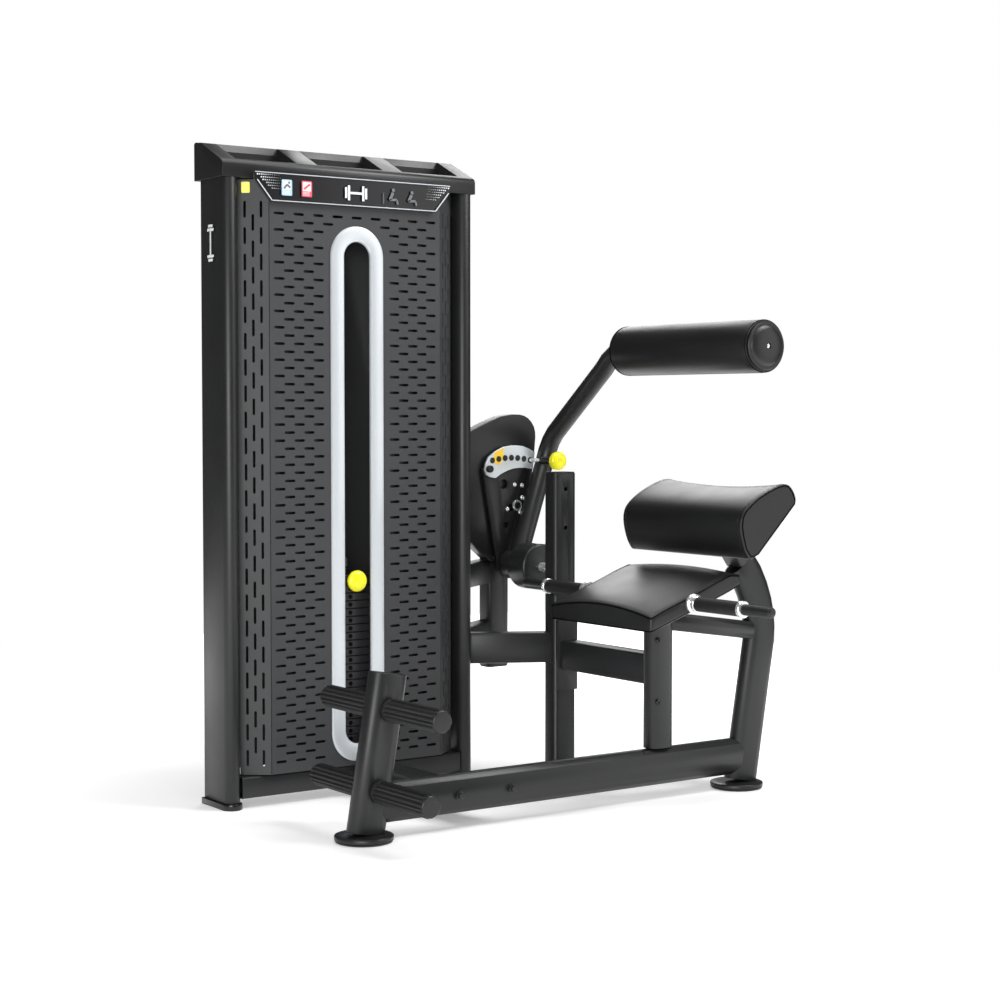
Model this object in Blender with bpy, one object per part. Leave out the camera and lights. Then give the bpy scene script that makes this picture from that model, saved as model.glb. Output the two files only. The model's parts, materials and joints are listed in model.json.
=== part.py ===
"""Ab crunch machine: a weight tower, a seat frame and a swinging arm with a roller pad.

Metres, +Z up. Every piece is modelled in the tower's own frame: X runs along the tower's front
towards the seat's rear leg, Y runs away from the user's side, Z up from the floor. An empty
then shifts the whole machine, so that the origin is at the centre of its footprint.
The user sits facing -X with the tower on their right.
"""

import math

import bmesh
import bpy
from mathutils import Vector

GAP = 0.0003

# Tower
TOWER_W = 0.713
UPRIGHT_W, UPRIGHT_D = 0.040, 0.125
UPRIGHT_X = (0.025, 0.688)
CAP_BOTTOM, CAP_FRONT_TOP, CAP_REAR_TOP, CAP_DEPTH = 1.492, 1.530, 1.583, 0.145
FOOT_H = 0.015
STACK_X, STACK_Y = 0.354, 0.063
PLATE_W, PLATE_D, PLATE_H = 0.330, 0.084, 0.0195
STACK_BOTTOM, PLATES = 0.128, 20
STACK_TOP = STACK_BOTTOM + PLATES * PLATE_H
ROD_TOP = STACK_TOP + 0.090
ROD_SPACING = 0.120
SHROUD_EDGE_X, SHROUD_FACE_X = (0.056, 0.657), (0.116, 0.597)
SHROUD_EDGE_Y, SHROUD_FACE_Y = 0.034, -0.010
SLOT_X = 0.355
TRIM_OUTER = (0.148, 0.088, 1.392)
TRIM_INNER = (0.074, 0.131, 1.354)

# Seat frame
MAIN_Y = -0.461
OVAL_LONG, OVAL_SHORT, OVAL_WALL = 0.092, 0.050, 0.003
MAIN_Z = 0.081
LEAN = math.radians(9.5)
SEAT_POST_X = 0.935
LEG_FOOT_X = 1.182

# Pivot and arm
PIVOT_X, PIVOT_Z = 0.950, 0.534
POST_X, POST_Y = 0.935, -0.064
BEARING_POST_X, BEARING_POST_Y = 0.950, 0.257
CAM_R, CAM_Y = 0.270, 0.211
TURN_PULLEY_R = 0.045
ROM_HOLE_R, ROM_FIRST, ROM_STEP = 0.285, math.radians(77), math.radians(4.2)
ARM_Y, ARM_R = 0.150, 0.025
ROLLER_X, ROLLER_Z, ROLLER_R = 1.039, 1.097, 0.0625
ROLLER_NEAR, ROLLER_FAR = -0.736, -0.204

# Handles
HANDLE_X, HANDLE_Z = 0.876, 0.497
HANDLE_REACH = 0.467

REAR_REACH = 1.309
BACK_REACH = 0.290
FRONT_REACH = MAIN_Y - HANDLE_REACH
CENTRE = Vector((REAR_REACH / 2, (FRONT_REACH + BACK_REACH) / 2, 0))

X, Y, Z = Vector((1, 0, 0)), Vector((0, 1, 0)), Vector((0, 0, 1))

# Colour, roughness and metallic value of each finish
FINISHES = {
    "frame_paint": ((0.060, 0.061, 0.064), 0.45, 0.3),
    "shroud_paint": ((0.110, 0.112, 0.118), 0.60, 0.1),
    "trim_silver": ((0.68, 0.72, 0.75), 0.35, 0.9),
    "gloss_black": ((0.012, 0.012, 0.013), 0.12, 0.0),
    "pad_leather": ((0.014, 0.014, 0.015), 0.40, 0.0),
    "rubber_black": ((0.016, 0.016, 0.017), 0.70, 0.0),
    "knob_yellow": ((0.90, 0.82, 0.00), 0.35, 0.0),
    "chrome": ((0.80, 0.82, 0.84), 0.10, 1.0),
    "stack_steel": ((0.035, 0.035, 0.037), 0.45, 0.6),
    "cover_black": ((0.025, 0.025, 0.027), 0.35, 0.0),
    "cable_black": ((0.012, 0.012, 0.012), 0.50, 0.0),
}


def clear_scene():
    for obj in list(bpy.data.objects):
        bpy.data.objects.remove(obj)


def finish(name):
    """The named finish as a material, made the first time it is asked for."""
    material = bpy.data.materials.get(name)
    if material:
        return material
    colour, roughness, metallic = FINISHES[name]
    material = bpy.data.materials.new(name)
    material.use_nodes = True
    shader = material.node_tree.nodes["Principled BSDF"]
    shader.inputs["Base Color"].default_value = (*colour, 1)
    shader.inputs["Roughness"].default_value = roughness
    shader.inputs["Metallic"].default_value = metallic
    material.diffuse_color = (*colour, 1)
    return material


def piece(name, bm, material, origin=None):
    """One object from a bmesh in the tower's frame, with its own origin where it turns."""
    bmesh.ops.recalc_face_normals(bm, faces=bm.faces)
    mesh = bpy.data.meshes.new(name)
    if origin is not None:
        bmesh.ops.translate(bm, verts=bm.verts, vec=-origin)
    bm.to_mesh(mesh)
    bm.free()
    mesh.materials.append(finish(material))
    mesh.shade_smooth()
    mesh.set_sharp_from_angle(angle=math.radians(35))
    obj = bpy.data.objects.new(name, mesh)
    if origin is not None:
        obj.location = origin
    obj.parent = bpy.data.objects["machine"]
    bpy.context.collection.objects.link(obj)
    return obj


def cut(target, name, bm, operation="DIFFERENCE"):
    """A Boolean on target with a hidden tool made from bm."""
    tool = piece(f"{target.name}_{name}", bm, "frame_paint")
    tool.hide_render = True
    tool.display_type = "WIRE"
    modifier = target.modifiers.new(name, "BOOLEAN")
    modifier.operation = operation
    modifier.object = tool
    return target


# ---------------------------------------------------------------- outlines, counter-clockwise


def arc(centre, radius, start, end, count):
    """count points from start to end, in degrees."""
    step = (end - start) / (count - 1)
    angles = [math.radians(start + step * i) for i in range(count)]
    return [(centre[0] + radius * math.cos(a), centre[1] + radius * math.sin(a)) for a in angles]


def round_outline(radius, count=20):
    return arc((0, 0), radius, 0, 360 - 360 / count, count)


def oval(width, height, count=7):
    """A flat oval, long in the first or the second direction."""
    if width >= height:
        r, straight = height / 2, (width - height) / 2
        return arc((straight, 0), r, -90, 90, count) + arc((-straight, 0), r, 90, 270, count)
    return [(-y, x) for x, y in oval(height, width, count)]


def rounded_box(width, height, radius=0.006, count=3):
    x, y = width / 2 - radius, height / 2 - radius
    corners = (((x, -y), -90), ((x, y), 0), ((-x, y), 90), ((-x, -y), 180))
    return [p for centre, start in corners for p in arc(centre, radius, start, start + 90, count)]


def d_outline(width, depth, inset=0.0):
    """A D: its round nose towards the second direction's low end."""
    r = width / 2 - inset
    nose = arc((0, -depth / 2 + width / 2), r, 180, 360, 9)
    corner = max(0.004 - inset, 0.001)
    x, y = r - corner, depth / 2 - inset - corner
    return nose + arc((x, y), corner, 0, 90, 3) + arc((-x, y), corner, 90, 180, 3)


# ---------------------------------------------------------------- solids


def frame_at(centre, direction, side):
    """(centre, first direction, second direction) of a section square to direction."""
    direction = Vector(direction).normalized()
    first = (Vector(side) - direction * direction.dot(Vector(side))).normalized()
    return Vector(centre), first, direction.cross(first)


def ring(bm, station, outline):
    centre, first, second = station
    return [bm.verts.new(centre + first * a + second * b) for a, b in outline]


def skin(bm, low, high):
    count = len(low)
    for i in range(count):
        j = (i + 1) % count
        bm.faces.new((low[i], low[j], high[j], high[i]))


def sweep(stations, outline, inner=None, closed_end=False):
    """A bar along the stations, or a tube where an inner outline is given."""
    bm = bmesh.new()
    outer = [ring(bm, s, outline) for s in stations]
    for low, high in zip(outer, outer[1:]):
        skin(bm, low, high)
    if inner is None:
        bm.faces.new(outer[0])
        bm.faces.new(outer[-1])
        return bm
    hollow = [ring(bm, s, inner) for s in stations]
    for low, high in zip(hollow, hollow[1:]):
        skin(bm, low, high)
    skin(bm, outer[0], hollow[0])
    if not closed_end:
        skin(bm, outer[-1], hollow[-1])
        return bm
    bm.faces.new(outer[-1])
    bm.faces.new(hollow[-1])
    return bm


def straight(start, end, side):
    start, end = Vector(start), Vector(end)
    return [frame_at(start, end - start, side), frame_at(end, end - start, side)]


def prism(outline, normal, low, high):
    """An outline in the plane square to an axis, extruded from low to high along it.

    The outline's coordinates are (X, Y) for normal Z, (X, Z) for Y and (Y, Z) for X.
    """
    first, second = {"Z": (X, Y), "Y": (X, Z), "X": (Y, Z)}[normal]
    along = {"Z": Z, "Y": Y, "X": X}[normal]
    return sweep([(along * low, first, second), (along * high, first, second)], outline)


def moved(outline, x, y):
    return [(a + x, b + y) for a, b in outline]


def box(low, high):
    corners = [(low[0], low[1]), (high[0], low[1]), (high[0], high[1]), (low[0], high[1])]
    return prism(corners, "Z", low[2], high[2])


def turned(profile, axis_point, direction, count=24):
    """A solid of revolution: profile is (distance along the axis, radius), start to end."""
    side = Z if abs(Vector(direction).dot(Z)) < 0.9 else X
    _, first, second = frame_at(axis_point, direction, side)
    bm = bmesh.new()
    rings = []
    for along, radius in profile:
        centre = Vector(axis_point) + Vector(direction).normalized() * along
        rings.append(ring(bm, (centre, first, second), round_outline(radius, count)))
    for low, high in zip(rings, rings[1:]):
        skin(bm, low, high)
    bm.faces.new(rings[0])
    bm.faces.new(rings[-1])
    return bm


def sleeve(profile, axis_point, direction, count=24):
    """A turned ring: its profile is a closed loop of (distance along the axis, radius)."""
    side = Z if abs(Vector(direction).dot(Z)) < 0.9 else X
    _, first, second = frame_at(axis_point, direction, side)
    bm = bmesh.new()
    rings = []
    for along, radius in profile:
        centre = Vector(axis_point) + Vector(direction).normalized() * along
        rings.append(ring(bm, (centre, first, second), round_outline(radius, count)))
    for low, high in zip(rings, rings[1:] + rings[:1]):
        skin(bm, low, high)
    return bm


# ---------------------------------------------------------------- tower


def tower_frame():
    outline = d_outline(UPRIGHT_W, UPRIGHT_D)
    inner = d_outline(UPRIGHT_W, UPRIGHT_D, 0.003)
    y = UPRIGHT_D / 2
    for side, x in zip(("left", "right"), UPRIGHT_X):
        stations = [((X * x + Y * y + Z * z), X, Y) for z in (FOOT_H + GAP, CAP_BOTTOM - GAP)]
        piece(f"tower_upright_{side}", sweep(stations, outline, inner), "frame_paint")
        foot = moved(d_outline(UPRIGHT_W + 0.010, UPRIGHT_D + 0.012), x, y)
        piece(f"tower_foot_{side}", prism(foot, "Z", 0, FOOT_H), "gloss_black")
    ends = [x + sign * (UPRIGHT_W / 2 + GAP) for x, sign in zip(UPRIGHT_X, (1, -1))]
    base = straight((ends[0], 0.030, 0.050), (ends[1], 0.030, 0.050), Y)
    piece("tower_base_beam", tube_box(base, 0.056, 0.052), "frame_paint")
    top = straight((ends[0], 0.0485, 1.462), (ends[1], 0.0485, 1.462), Y)
    piece("tower_top_beam", tube_box(top, 0.022, 0.050), "frame_paint")
    bar = box((0.022, UPRIGHT_D + GAP, 0.755), (0.691, UPRIGHT_D + 0.008, 0.825))
    piece("rear_cross_bar", bar, "frame_paint")


def tube_box(stations, width, height, wall=0.003, radius=0.006):
    inner = rounded_box(width - 2 * wall, height - 2 * wall, radius - wall)
    return sweep(stations, rounded_box(width, height, radius), inner)


def top_cap():
    """A cap with a sloping top and three trays, hollow underneath each upright."""
    side = [(0, CAP_BOTTOM), (CAP_DEPTH, CAP_BOTTOM), (CAP_DEPTH, CAP_REAR_TOP - 0.004)]
    side += [(CAP_DEPTH - 0.006, CAP_REAR_TOP), (0.110, CAP_REAR_TOP - 0.003)]
    side += [(0.012, CAP_FRONT_TOP + 0.004), (0.003, CAP_FRONT_TOP - 0.001), (0, CAP_FRONT_TOP - 0.008)]
    cap = piece("top_cap", prism(side, "X", 0, TOWER_W), "cover_black")
    for i, (low, high) in enumerate(((0.042, 0.207), (0.264, 0.449), (0.506, 0.671))):
        tray = box((low, 0.018, CAP_BOTTOM + 0.010), (high, 0.116, CAP_REAR_TOP + 0.02))
        cut(cap, f"tray_{i}", tray)
    for i, (low, high) in enumerate(((0.212, 0.259), (0.454, 0.501))):
        pocket = box((low, 0.018, CAP_BOTTOM - 0.01), (high, 0.128, CAP_FRONT_TOP - 0.004))
        cut(cap, f"pocket_{i}", pocket)


def front_shroud():
    """A folded plate with a long slot for the selector pin."""
    left, right = SHROUD_EDGE_X
    low, high = SHROUD_FACE_X
    edge, face = SHROUD_EDGE_Y, SHROUD_FACE_Y
    t = 0.003
    outline = [(left, edge), (low, face), (high, face), (right, edge)]
    outline += [(right - t, edge + t), (high - t / 2, face + t)]
    outline += [(low + t / 2, face + t), (left + t, edge + t)]
    shroud = piece("front_shroud", prism(outline, "Z", 0.078, 1.490), "shroud_paint")
    width, bottom, top = TRIM_INNER
    slot = moved(oval(width + 0.020, top - bottom + 0.020, 9), SLOT_X, (top + bottom) / 2)
    cut(shroud, "slot", prism(slot, "Y", face - 0.01, face + 0.02))
    trim = stadium_ring(TRIM_OUTER, TRIM_INNER, face - 0.010, face - GAP)
    piece("slot_trim", trim, "trim_silver")
    back = piece("rear_shroud", box((0.046, 0.116, 0.078), (0.667, 0.118, 1.488)), "shroud_paint")
    cut(back, "pulley_slot", box((0.336, 0.100, 1.360), (0.379, 0.130, 1.500)))


def stadium_ring(outer, inner, front, back):
    """A flat ring between two upright stadiums, as thick as front to back."""
    loops = []
    for width, bottom, top in (outer, inner):
        loops.append(moved(oval(width, top - bottom, 13), SLOT_X, (top + bottom) / 2))
    bm = bmesh.new()
    rings = [ring(bm, (Y * y, X, Z), loop) for loop in loops for y in (front, back)]
    order = (rings[0], rings[1], rings[3], rings[2])
    for low, high in zip(order, order[1:] + order[:1]):
        skin(bm, low, high)
    return bm


def header_panel():
    """The trapezoid panel that hangs under the cap, in front of the shroud."""
    outline = [(0.111, 1.438), (0.581, 1.438), (0.621, 1.490), (0.621, 1.506)]
    outline += [(0.070, 1.506), (0.070, 1.490)]
    panel = prism(outline, "Y", -0.0245, -0.0205)
    piece("header_panel", panel, "gloss_black")


def comb_outline():
    """The side view of the resting plates, with a groove at every joint."""
    half, groove, bevel = PLATE_D / 2, 0.0015, 0.0008
    front, back = [], []
    for i in range(PLATES):
        z = STACK_BOTTOM + i * PLATE_H
        for edge, sign in ((front, -1), (back, 1)):
            edge += [(sign * half, z + bevel), (sign * half, z + PLATE_H - bevel)]
            if i < PLATES - 1:
                edge.append((sign * (half - groove), z + PLATE_H))
    return moved(front + back[::-1], STACK_Y, 0)


def weight_stack():
    """Guide rods, the resting plates as one grooved block, the moving top plate and its pin."""
    rods = [STACK_X - ROD_SPACING, STACK_X + ROD_SPACING]
    for side, x in zip(("left", "right"), rods):
        rod = turned([(0.077, 0.0095), (1.436, 0.0095)], (x, STACK_Y, 0), Z, 12)
        piece(f"guide_rod_{side}", rod, "chrome")
    half = PLATE_D / 2
    left, right = stack_sides()
    stack = piece("weight_stack", prism(comb_outline(), "X", left, right), "stack_steel")
    lid = box((left, STACK_Y - half, STACK_TOP + GAP), (right, STACK_Y + half, STACK_TOP + 0.024))
    plate = piece("top_plate", lid, "stack_steel")
    for target, middle_radius in ((stack, 0.0125), (plate, 0.0105)):
        for i, (x, radius) in enumerate(((rods[0], 0.0115), (rods[1], 0.0115), (STACK_X, middle_radius))):
            hole = turned([(0.10, radius), (0.60, radius)], (x, STACK_Y, 0), Z, 12)
            cut(target, f"hole_{i}", hole)
    pin_z = STACK_TOP + 0.012
    front = (STACK_X, STACK_Y - half, pin_z)
    cut(plate, "pin_hole", turned([(-0.01, 0.0055), (half - 0.006, 0.0055)], front, Y, 12))
    rod = [(STACK_BOTTOM + 0.02, 0.010), (STACK_TOP + 0.040, 0.010), (STACK_TOP + 0.044, 0.015)]
    rod += [(STACK_TOP + 0.062, 0.015), (STACK_TOP + 0.070, 0.006), (ROD_TOP, 0.006)]
    piece("selector_rod", turned(rod, (STACK_X, STACK_Y, 0), Z, 12), "chrome")
    pin = [(0, 0.0045), (0.029, 0.0050), (0.034, 0.0100), (0.037, 0.0210), (0.043, 0.0260)]
    pin += [(0.051, 0.0260), (0.057, 0.0220), (0.0595, 0.0120)]
    pin_start = Vector((STACK_X, 0.034, pin_z))
    piece("selector_pin", turned(pin, pin_start, -Y), "knob_yellow", origin=pin_start)


def stack_sides():
    return STACK_X - PLATE_W / 2, STACK_X + PLATE_W / 2


# ---------------------------------------------------------------- cable and pulleys


def pulley_profile(radius, width):
    """A grooved wheel with a bore, as a closed loop of (distance along the axis, radius)."""
    half, rim, floor = width / 2, radius + 0.004, radius - 0.002
    side = [(half * 0.25, floor), (half * 0.6, rim), (half, rim), (half, 0.006)]
    return [(-along, r) for along, r in side[::-1]] + side


TOP_PULLEY = Vector((STACK_X, STACK_Y + 0.051, 1.425))
LOW_PULLEY = Vector((STACK_X + TURN_PULLEY_R, CAM_Y - 0.006, 0.790))
CAM_PULLEY = Vector((0.9885, CAM_Y, 0.877))
CABLE_R = 0.003


def circle_points(centre, radius, start, end, plane, count):
    """Points round a pulley in the plane of the two given directions, angles in degrees."""
    first, second = plane
    step = (end - start) / (count - 1)
    angles = [math.radians(start + step * i) for i in range(count)]
    return [centre + (first * math.cos(a) + second * math.sin(a)) * radius for a in angles]


def cable():
    reach = CABLE_R + GAP
    lift_top = TOP_PULLEY.z - 0.008
    lift = turned([(ROD_TOP + GAP, CABLE_R), (lift_top, CABLE_R)], (STACK_X, STACK_Y, 0), Z, 8)
    piece("lift_cable", lift, "cable_black")
    r = TURN_PULLEY_R + reach - 0.002
    top = circle_points(TOP_PULLEY, 0.051, 180, 0, (Y, Z), 13)
    top.insert(0, top[0] - Z * (0.008 - GAP))
    low = circle_points(LOW_PULLEY, r, 180, 287, (X, Z), 9)
    cam = circle_points(CAM_PULLEY, r, 107, -73, (X, Z), 12)
    points = top + low + cam
    tangent = math.radians(17.2)
    end = Vector((PIVOT_X - CAM_R * math.sin(tangent), CAM_Y, PIVOT_Z + CAM_R * math.cos(tangent)))
    points.append(end + (points[-1] - end) * 0.15)
    curve = bpy.data.curves.new("drive_cable", "CURVE")
    curve.dimensions = "3D"
    spline = curve.splines.new("POLY")
    spline.points.add(len(points) - 1)
    for target, p in zip(spline.points, points):
        target.co = (*p, 1)
    curve.bevel_depth = CABLE_R
    curve.bevel_resolution = 2
    curve.use_fill_caps = True
    curve.materials.append(finish("cable_black"))
    obj = bpy.data.objects.new("drive_cable", curve)
    obj.parent = bpy.data.objects["machine"]
    bpy.context.collection.objects.link(obj)


def pulleys():
    wheels = (("top_pulley", TOP_PULLEY, X, 0.051), ("turn_pulley", LOW_PULLEY, Y, TURN_PULLEY_R),
              ("cam_pulley", CAM_PULLEY, Y, TURN_PULLEY_R))
    for name, centre, axis, radius in wheels:
        groove = radius - CABLE_R - GAP + 0.001
        piece(name, sleeve(pulley_profile(groove, 0.020), centre, axis), "cover_black", origin=centre)


# ---------------------------------------------------------------- seat frame

HANDLE_CENTRE = Vector((HANDLE_X, MAIN_Y, HANDLE_Z))
OVAL = oval(OVAL_LONG, OVAL_SHORT)
OVAL_INNER = oval(OVAL_LONG - 2 * OVAL_WALL, OVAL_SHORT - 2 * OVAL_WALL)
OVAL_CLEAR = oval(OVAL_LONG + 2 * GAP, OVAL_SHORT + 2 * GAP)


def front_tube_stations(low, high):
    """The leaning front tube's sections, its long side along X, between two heights."""
    base = Vector((0.104, MAIN_Y, 0.025))
    lean = Vector((math.sin(LEAN), 0, math.cos(LEAN)))
    return [frame_at(base + lean * (z - 0.025) / lean.z, lean, X) for z in (low, high)]


def rear_leg_stations():
    """The rear leg's centre line: it leans back, bends forward and meets the back pad."""
    points = [(1.204, 0.020), (1.263, 0.366)]
    points += [(1.2645, 0.400), (1.2615, 0.430), (1.254, 0.462), (1.241, 0.497)]
    points += [(1.222, 0.533), (1.196, 0.566)]
    stations = []
    for i, (x, z) in enumerate(points):
        before, after = points[max(i - 1, 0)], points[min(i + 1, len(points) - 1)]
        direction = Vector((after[0] - before[0], 0, after[1] - before[1]))
        stations.append(frame_at((x, MAIN_Y, z), direction, X))
    return stations


def floor_disc(name, x, y):
    disc = turned([(0, 0.060), (0.003, 0.0645), (0.013, 0.0645), (0.016, 0.061)], (x, y, 0), Z, 28)
    piece(name, disc, "gloss_black")


def seat_frame():
    lean = front_tube_stations(0.017, 0.368)
    tube = piece("front_tube", sweep(lean, OVAL, OVAL_INNER, True), "frame_paint")
    tool = sweep(front_tube_stations(0, 0.40), OVAL_CLEAR)
    for level, x, z in (("upper", 0.150, 0.290), ("lower", 0.1215, 0.112)):
        cut(tube, f"peg_{level}", turned([(-0.1, 0.0128), (0.1, 0.0128)], (x, MAIN_Y, z), Y, 16))
        peg = turned([(-0.236, 0.0125), (0.236, 0.0125)], (x, MAIN_Y, z), Y, 16)
        piece(f"foot_peg_{level}", peg, "chrome")
        for side, near, far in (("near", -0.235, -0.030), ("far", 0.030, 0.235)):
            ends = [(near, 0.0130), (near, 0.0240), (near + 0.003, 0.0260), (far - 0.003, 0.0260),
                    (far, 0.0240), (far, 0.0130)]
            piece(f"foot_roller_{level}_{side}", sleeve(ends, (x, MAIN_Y, z), Y, 20), "rubber_black")
    main = straight((0.112, MAIN_Y, MAIN_Z), (1.215, MAIN_Y, MAIN_Z), Z)
    beam = piece("main_beam", sweep(main, OVAL, OVAL_INNER), "frame_paint")
    cut(beam, "front_cope", tool)
    cut(beam, "rear_cope", sweep(rear_leg_stations(), OVAL_CLEAR))
    leg = piece("rear_leg", sweep(rear_leg_stations(), OVAL, OVAL_INNER, True), "frame_paint")
    cut(leg, "floor_cut", box((1.0, -0.6, -0.1), (1.4, -0.3, 0.0165)))
    cut(tube, "floor_cut", box((0, -0.6, -0.1), (0.3, -0.3, 0.0165)))
    floor_disc("front_foot", 0.099, MAIN_Y)
    floor_disc("rear_foot", LEG_FOOT_X + 0.010, MAIN_Y)
    link = straight((0.405, MAIN_Y + OVAL_SHORT / 2 + GAP, 0.055), (0.405, 0.0017, 0.055), X)
    piece("connector_beam", tube_box(link, 0.100, 0.046, radius=0.010), "frame_paint")


def seat_support():
    """Seat post, the beam back to the rear leg and the beam across to the pivot post."""
    post = straight((SEAT_POST_X, MAIN_Y, 0.1273), (SEAT_POST_X, MAIN_Y, 0.5200), X)
    oval_post = oval(0.076, OVAL_SHORT)
    inner = oval(0.076 - 2 * OVAL_WALL, OVAL_SHORT - 2 * OVAL_WALL)
    post = piece("seat_post", sweep(post, oval_post, inner), "frame_paint")
    beam = straight((0.950, MAIN_Y, 0.436), (1.255, MAIN_Y, 0.391), Y)
    seat_beam = piece("seat_beam", tube_box(beam, 0.044, 0.044), "frame_paint")
    clear = oval(0.076 + 2 * GAP, OVAL_SHORT + 2 * GAP)
    upright = straight((SEAT_POST_X, MAIN_Y, 0.1), (SEAT_POST_X, MAIN_Y, 0.6), X)
    cut(seat_beam, "post_cope", sweep(upright, clear))
    cut(seat_beam, "leg_cope", sweep(rear_leg_stations(), OVAL_CLEAR))
    ends = (0.800, 0.968)
    above = [(x, pad_floor(x) - 0.003) for x in (0.85, 1.02)] + [(1.02, 0.70), (0.85, 0.70)]
    cut(post, "slope", prism(above, "Y", MAIN_Y - 0.1, MAIN_Y + 0.1))
    plate = [(x, pad_floor(x) - 0.0065) for x in ends] + [(x, pad_floor(x) - 0.0008) for x in ends[::-1]]
    cut(post, "seat_plate", prism(plate, "Y", MAIN_Y - 0.080, MAIN_Y + 0.080), "UNION")
    front = POST_Y - 0.025
    near_end = (SEAT_POST_X, MAIN_Y + OVAL_SHORT / 2 + GAP, 0.3175)
    cross = straight(near_end, (SEAT_POST_X, front - 0.0060, 0.3175), X)
    cross_beam = piece("cross_beam", tube_box(cross, 0.050, 0.075), "frame_paint")
    flange = box((0.903, front - 0.0083, 0.225), (0.967, front - GAP, 0.405))
    cut(cross_beam, "flange", flange, "UNION")


def pad_floor(x):
    """Height of the seat pad's flat underside, which rises to the rear."""
    return 0.4345 + 0.35 * (x - 0.762)


def seat_pad():
    """A slab that rises to the rear, its top crowned across the width."""
    half = 0.195
    sections = [(0.750, 0.009, 0.4880, 0.4680), (0.762, 0, 0.4975, 0.4760), (0.850, 0, 0.5240, 0.5060)]
    sections += [(0.930, 0, 0.5490, 0.5350), (0.995, 0, 0.5700, 0.5590), (1.022, 0, 0.5690, 0.5600)]
    sections += [(1.030, 0.008, 0.5600, 0.5520)]
    bm = bmesh.new()
    rows = []
    for x, lift, middle, side in sections:
        tops, bottoms = [], []
        for i in range(9):
            across = -1 + i / 4
            top = middle + (side - middle) * across * across
            tops.append(bm.verts.new((x, MAIN_Y + half * across, top)))
            bottoms.append(bm.verts.new((x, MAIN_Y + half * across, pad_floor(x) + lift)))
        rows.append(tops + bottoms[::-1])
    for low, high in zip(rows, rows[1:]):
        skin(bm, low, high)
    bm.faces.new(rows[0])
    bm.faces.new(rows[-1])
    pad = piece("seat_pad", bm, "pad_leather")
    for side, way in (("near", -Y), ("far", Y)):
        socket = turned([(0.172, 0.0139), (0.250, 0.0139)], HANDLE_CENTRE, way, 16)
        cut(pad, f"socket_{side}", socket)


def back_pad():
    """A D-shaped bolster, its top edge waisted at the middle of its width."""
    outline = [(1.038, 0.5930), (1.030, 0.5935), (1.014, 0.615), (1.004, 0.648), (1.000, 0.680)]
    outline += [(1.004, 0.702), (1.020, 0.7165), (1.040, 0.730), (1.061, 0.744), (1.092, 0.758)]
    outline += [(1.122, 0.769), (1.142, 0.7725), (1.158, 0.770), (1.172, 0.756), (1.182, 0.735)]
    outline += [(1.180, 0.724), (1.055, 0.600)]
    bm = bmesh.new()
    rows = []
    for i in range(9):
        across = -1 + i / 4
        waist = 0.012 * (1 - across * across)
        row = [(x, MAIN_Y + 0.223 * across, z - waist * max(z - 0.735, 0) / 0.035) for x, z in outline]
        rows.append([bm.verts.new(p) for p in row])
    for low, high in zip(rows, rows[1:]):
        skin(bm, low, high)
    bm.faces.new(rows[0])
    bm.faces.new(rows[-1])
    piece("back_pad", bm, "pad_leather")
    along = Vector((0.129, 0, 0.134)).normalized()
    away = Vector((along.z, 0, -along.x))
    centre = Vector((1.1195, MAIN_Y, 0.667)) + away * 0.0035
    stations = [(centre + away * d, Y, along) for d in (0.001, 0.007)]
    plate = sweep(stations, rounded_box(0.180, 0.110, 0.010))
    bracket = piece("back_pad_bracket", plate, "frame_paint")
    start = centre + away * 0.005
    end = Vector((1.196, MAIN_Y, 0.566))
    stub = sweep([frame_at(start, end - start, Y), frame_at(end + (start - end) * 0.02, end - start, Y)],
                 rounded_box(0.060, 0.040, 0.008))
    cut(bracket, "stub", stub, "UNION")
    cut(bracket, "leg_cope", sweep(rear_leg_stations(), oval(OVAL_LONG + 4 * GAP, OVAL_SHORT + 4 * GAP)))


def handles():
    """A bar on each side of the seat, with a grip between its two bright collars."""
    for side, way in (("near", -Y), ("far", Y)):
        bar = [(0.175, 0.0135), (0.1985, 0.0135), (0.1990, 0.0230), (0.2060, 0.0230), (0.2065, 0.0135),
               (0.3675, 0.0135), (0.3680, 0.0230), (0.3755, 0.0230), (0.3760, 0.0135),
               (HANDLE_REACH - 0.003, 0.0135), (HANDLE_REACH, 0.0110)]
        piece(f"handle_bar_{side}", turned(bar, HANDLE_CENTRE, way, 20), "chrome")
        grip = [(0.2069, 0.0139), (0.2069, 0.0185), (0.2090, 0.0195), (0.3650, 0.0195), (0.3671, 0.0185),
                (0.3671, 0.0139)]
        piece(f"handle_grip_{side}", sleeve(grip, HANDLE_CENTRE, way, 20), "rubber_black")


# ---------------------------------------------------------------- pivot frame


def near_post():
    outline = rounded_box(0.070, 0.050, 0.012, 4)
    inner = rounded_box(0.064, 0.044, 0.009, 4)
    tube = sweep(straight((POST_X, POST_Y, 0.012), (POST_X, POST_Y, 0.785), X), outline, inner, True)
    post = piece("pivot_post", tube, "frame_paint")
    foot = turned([(0, 0.0600), (0.013, 0.0645), (0.016, 0.0610)], (POST_X, POST_Y, 0), Z, 28)
    cut(post, "foot", foot, "UNION")
    for i, z in enumerate((0.644, 0.744)):
        hole = turned([(0, 0.0055), (0.030, 0.0055)], (POST_X, POST_Y - 0.040, z), Y, 12)
        cut(post, f"hole_{i}", hole)


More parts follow.
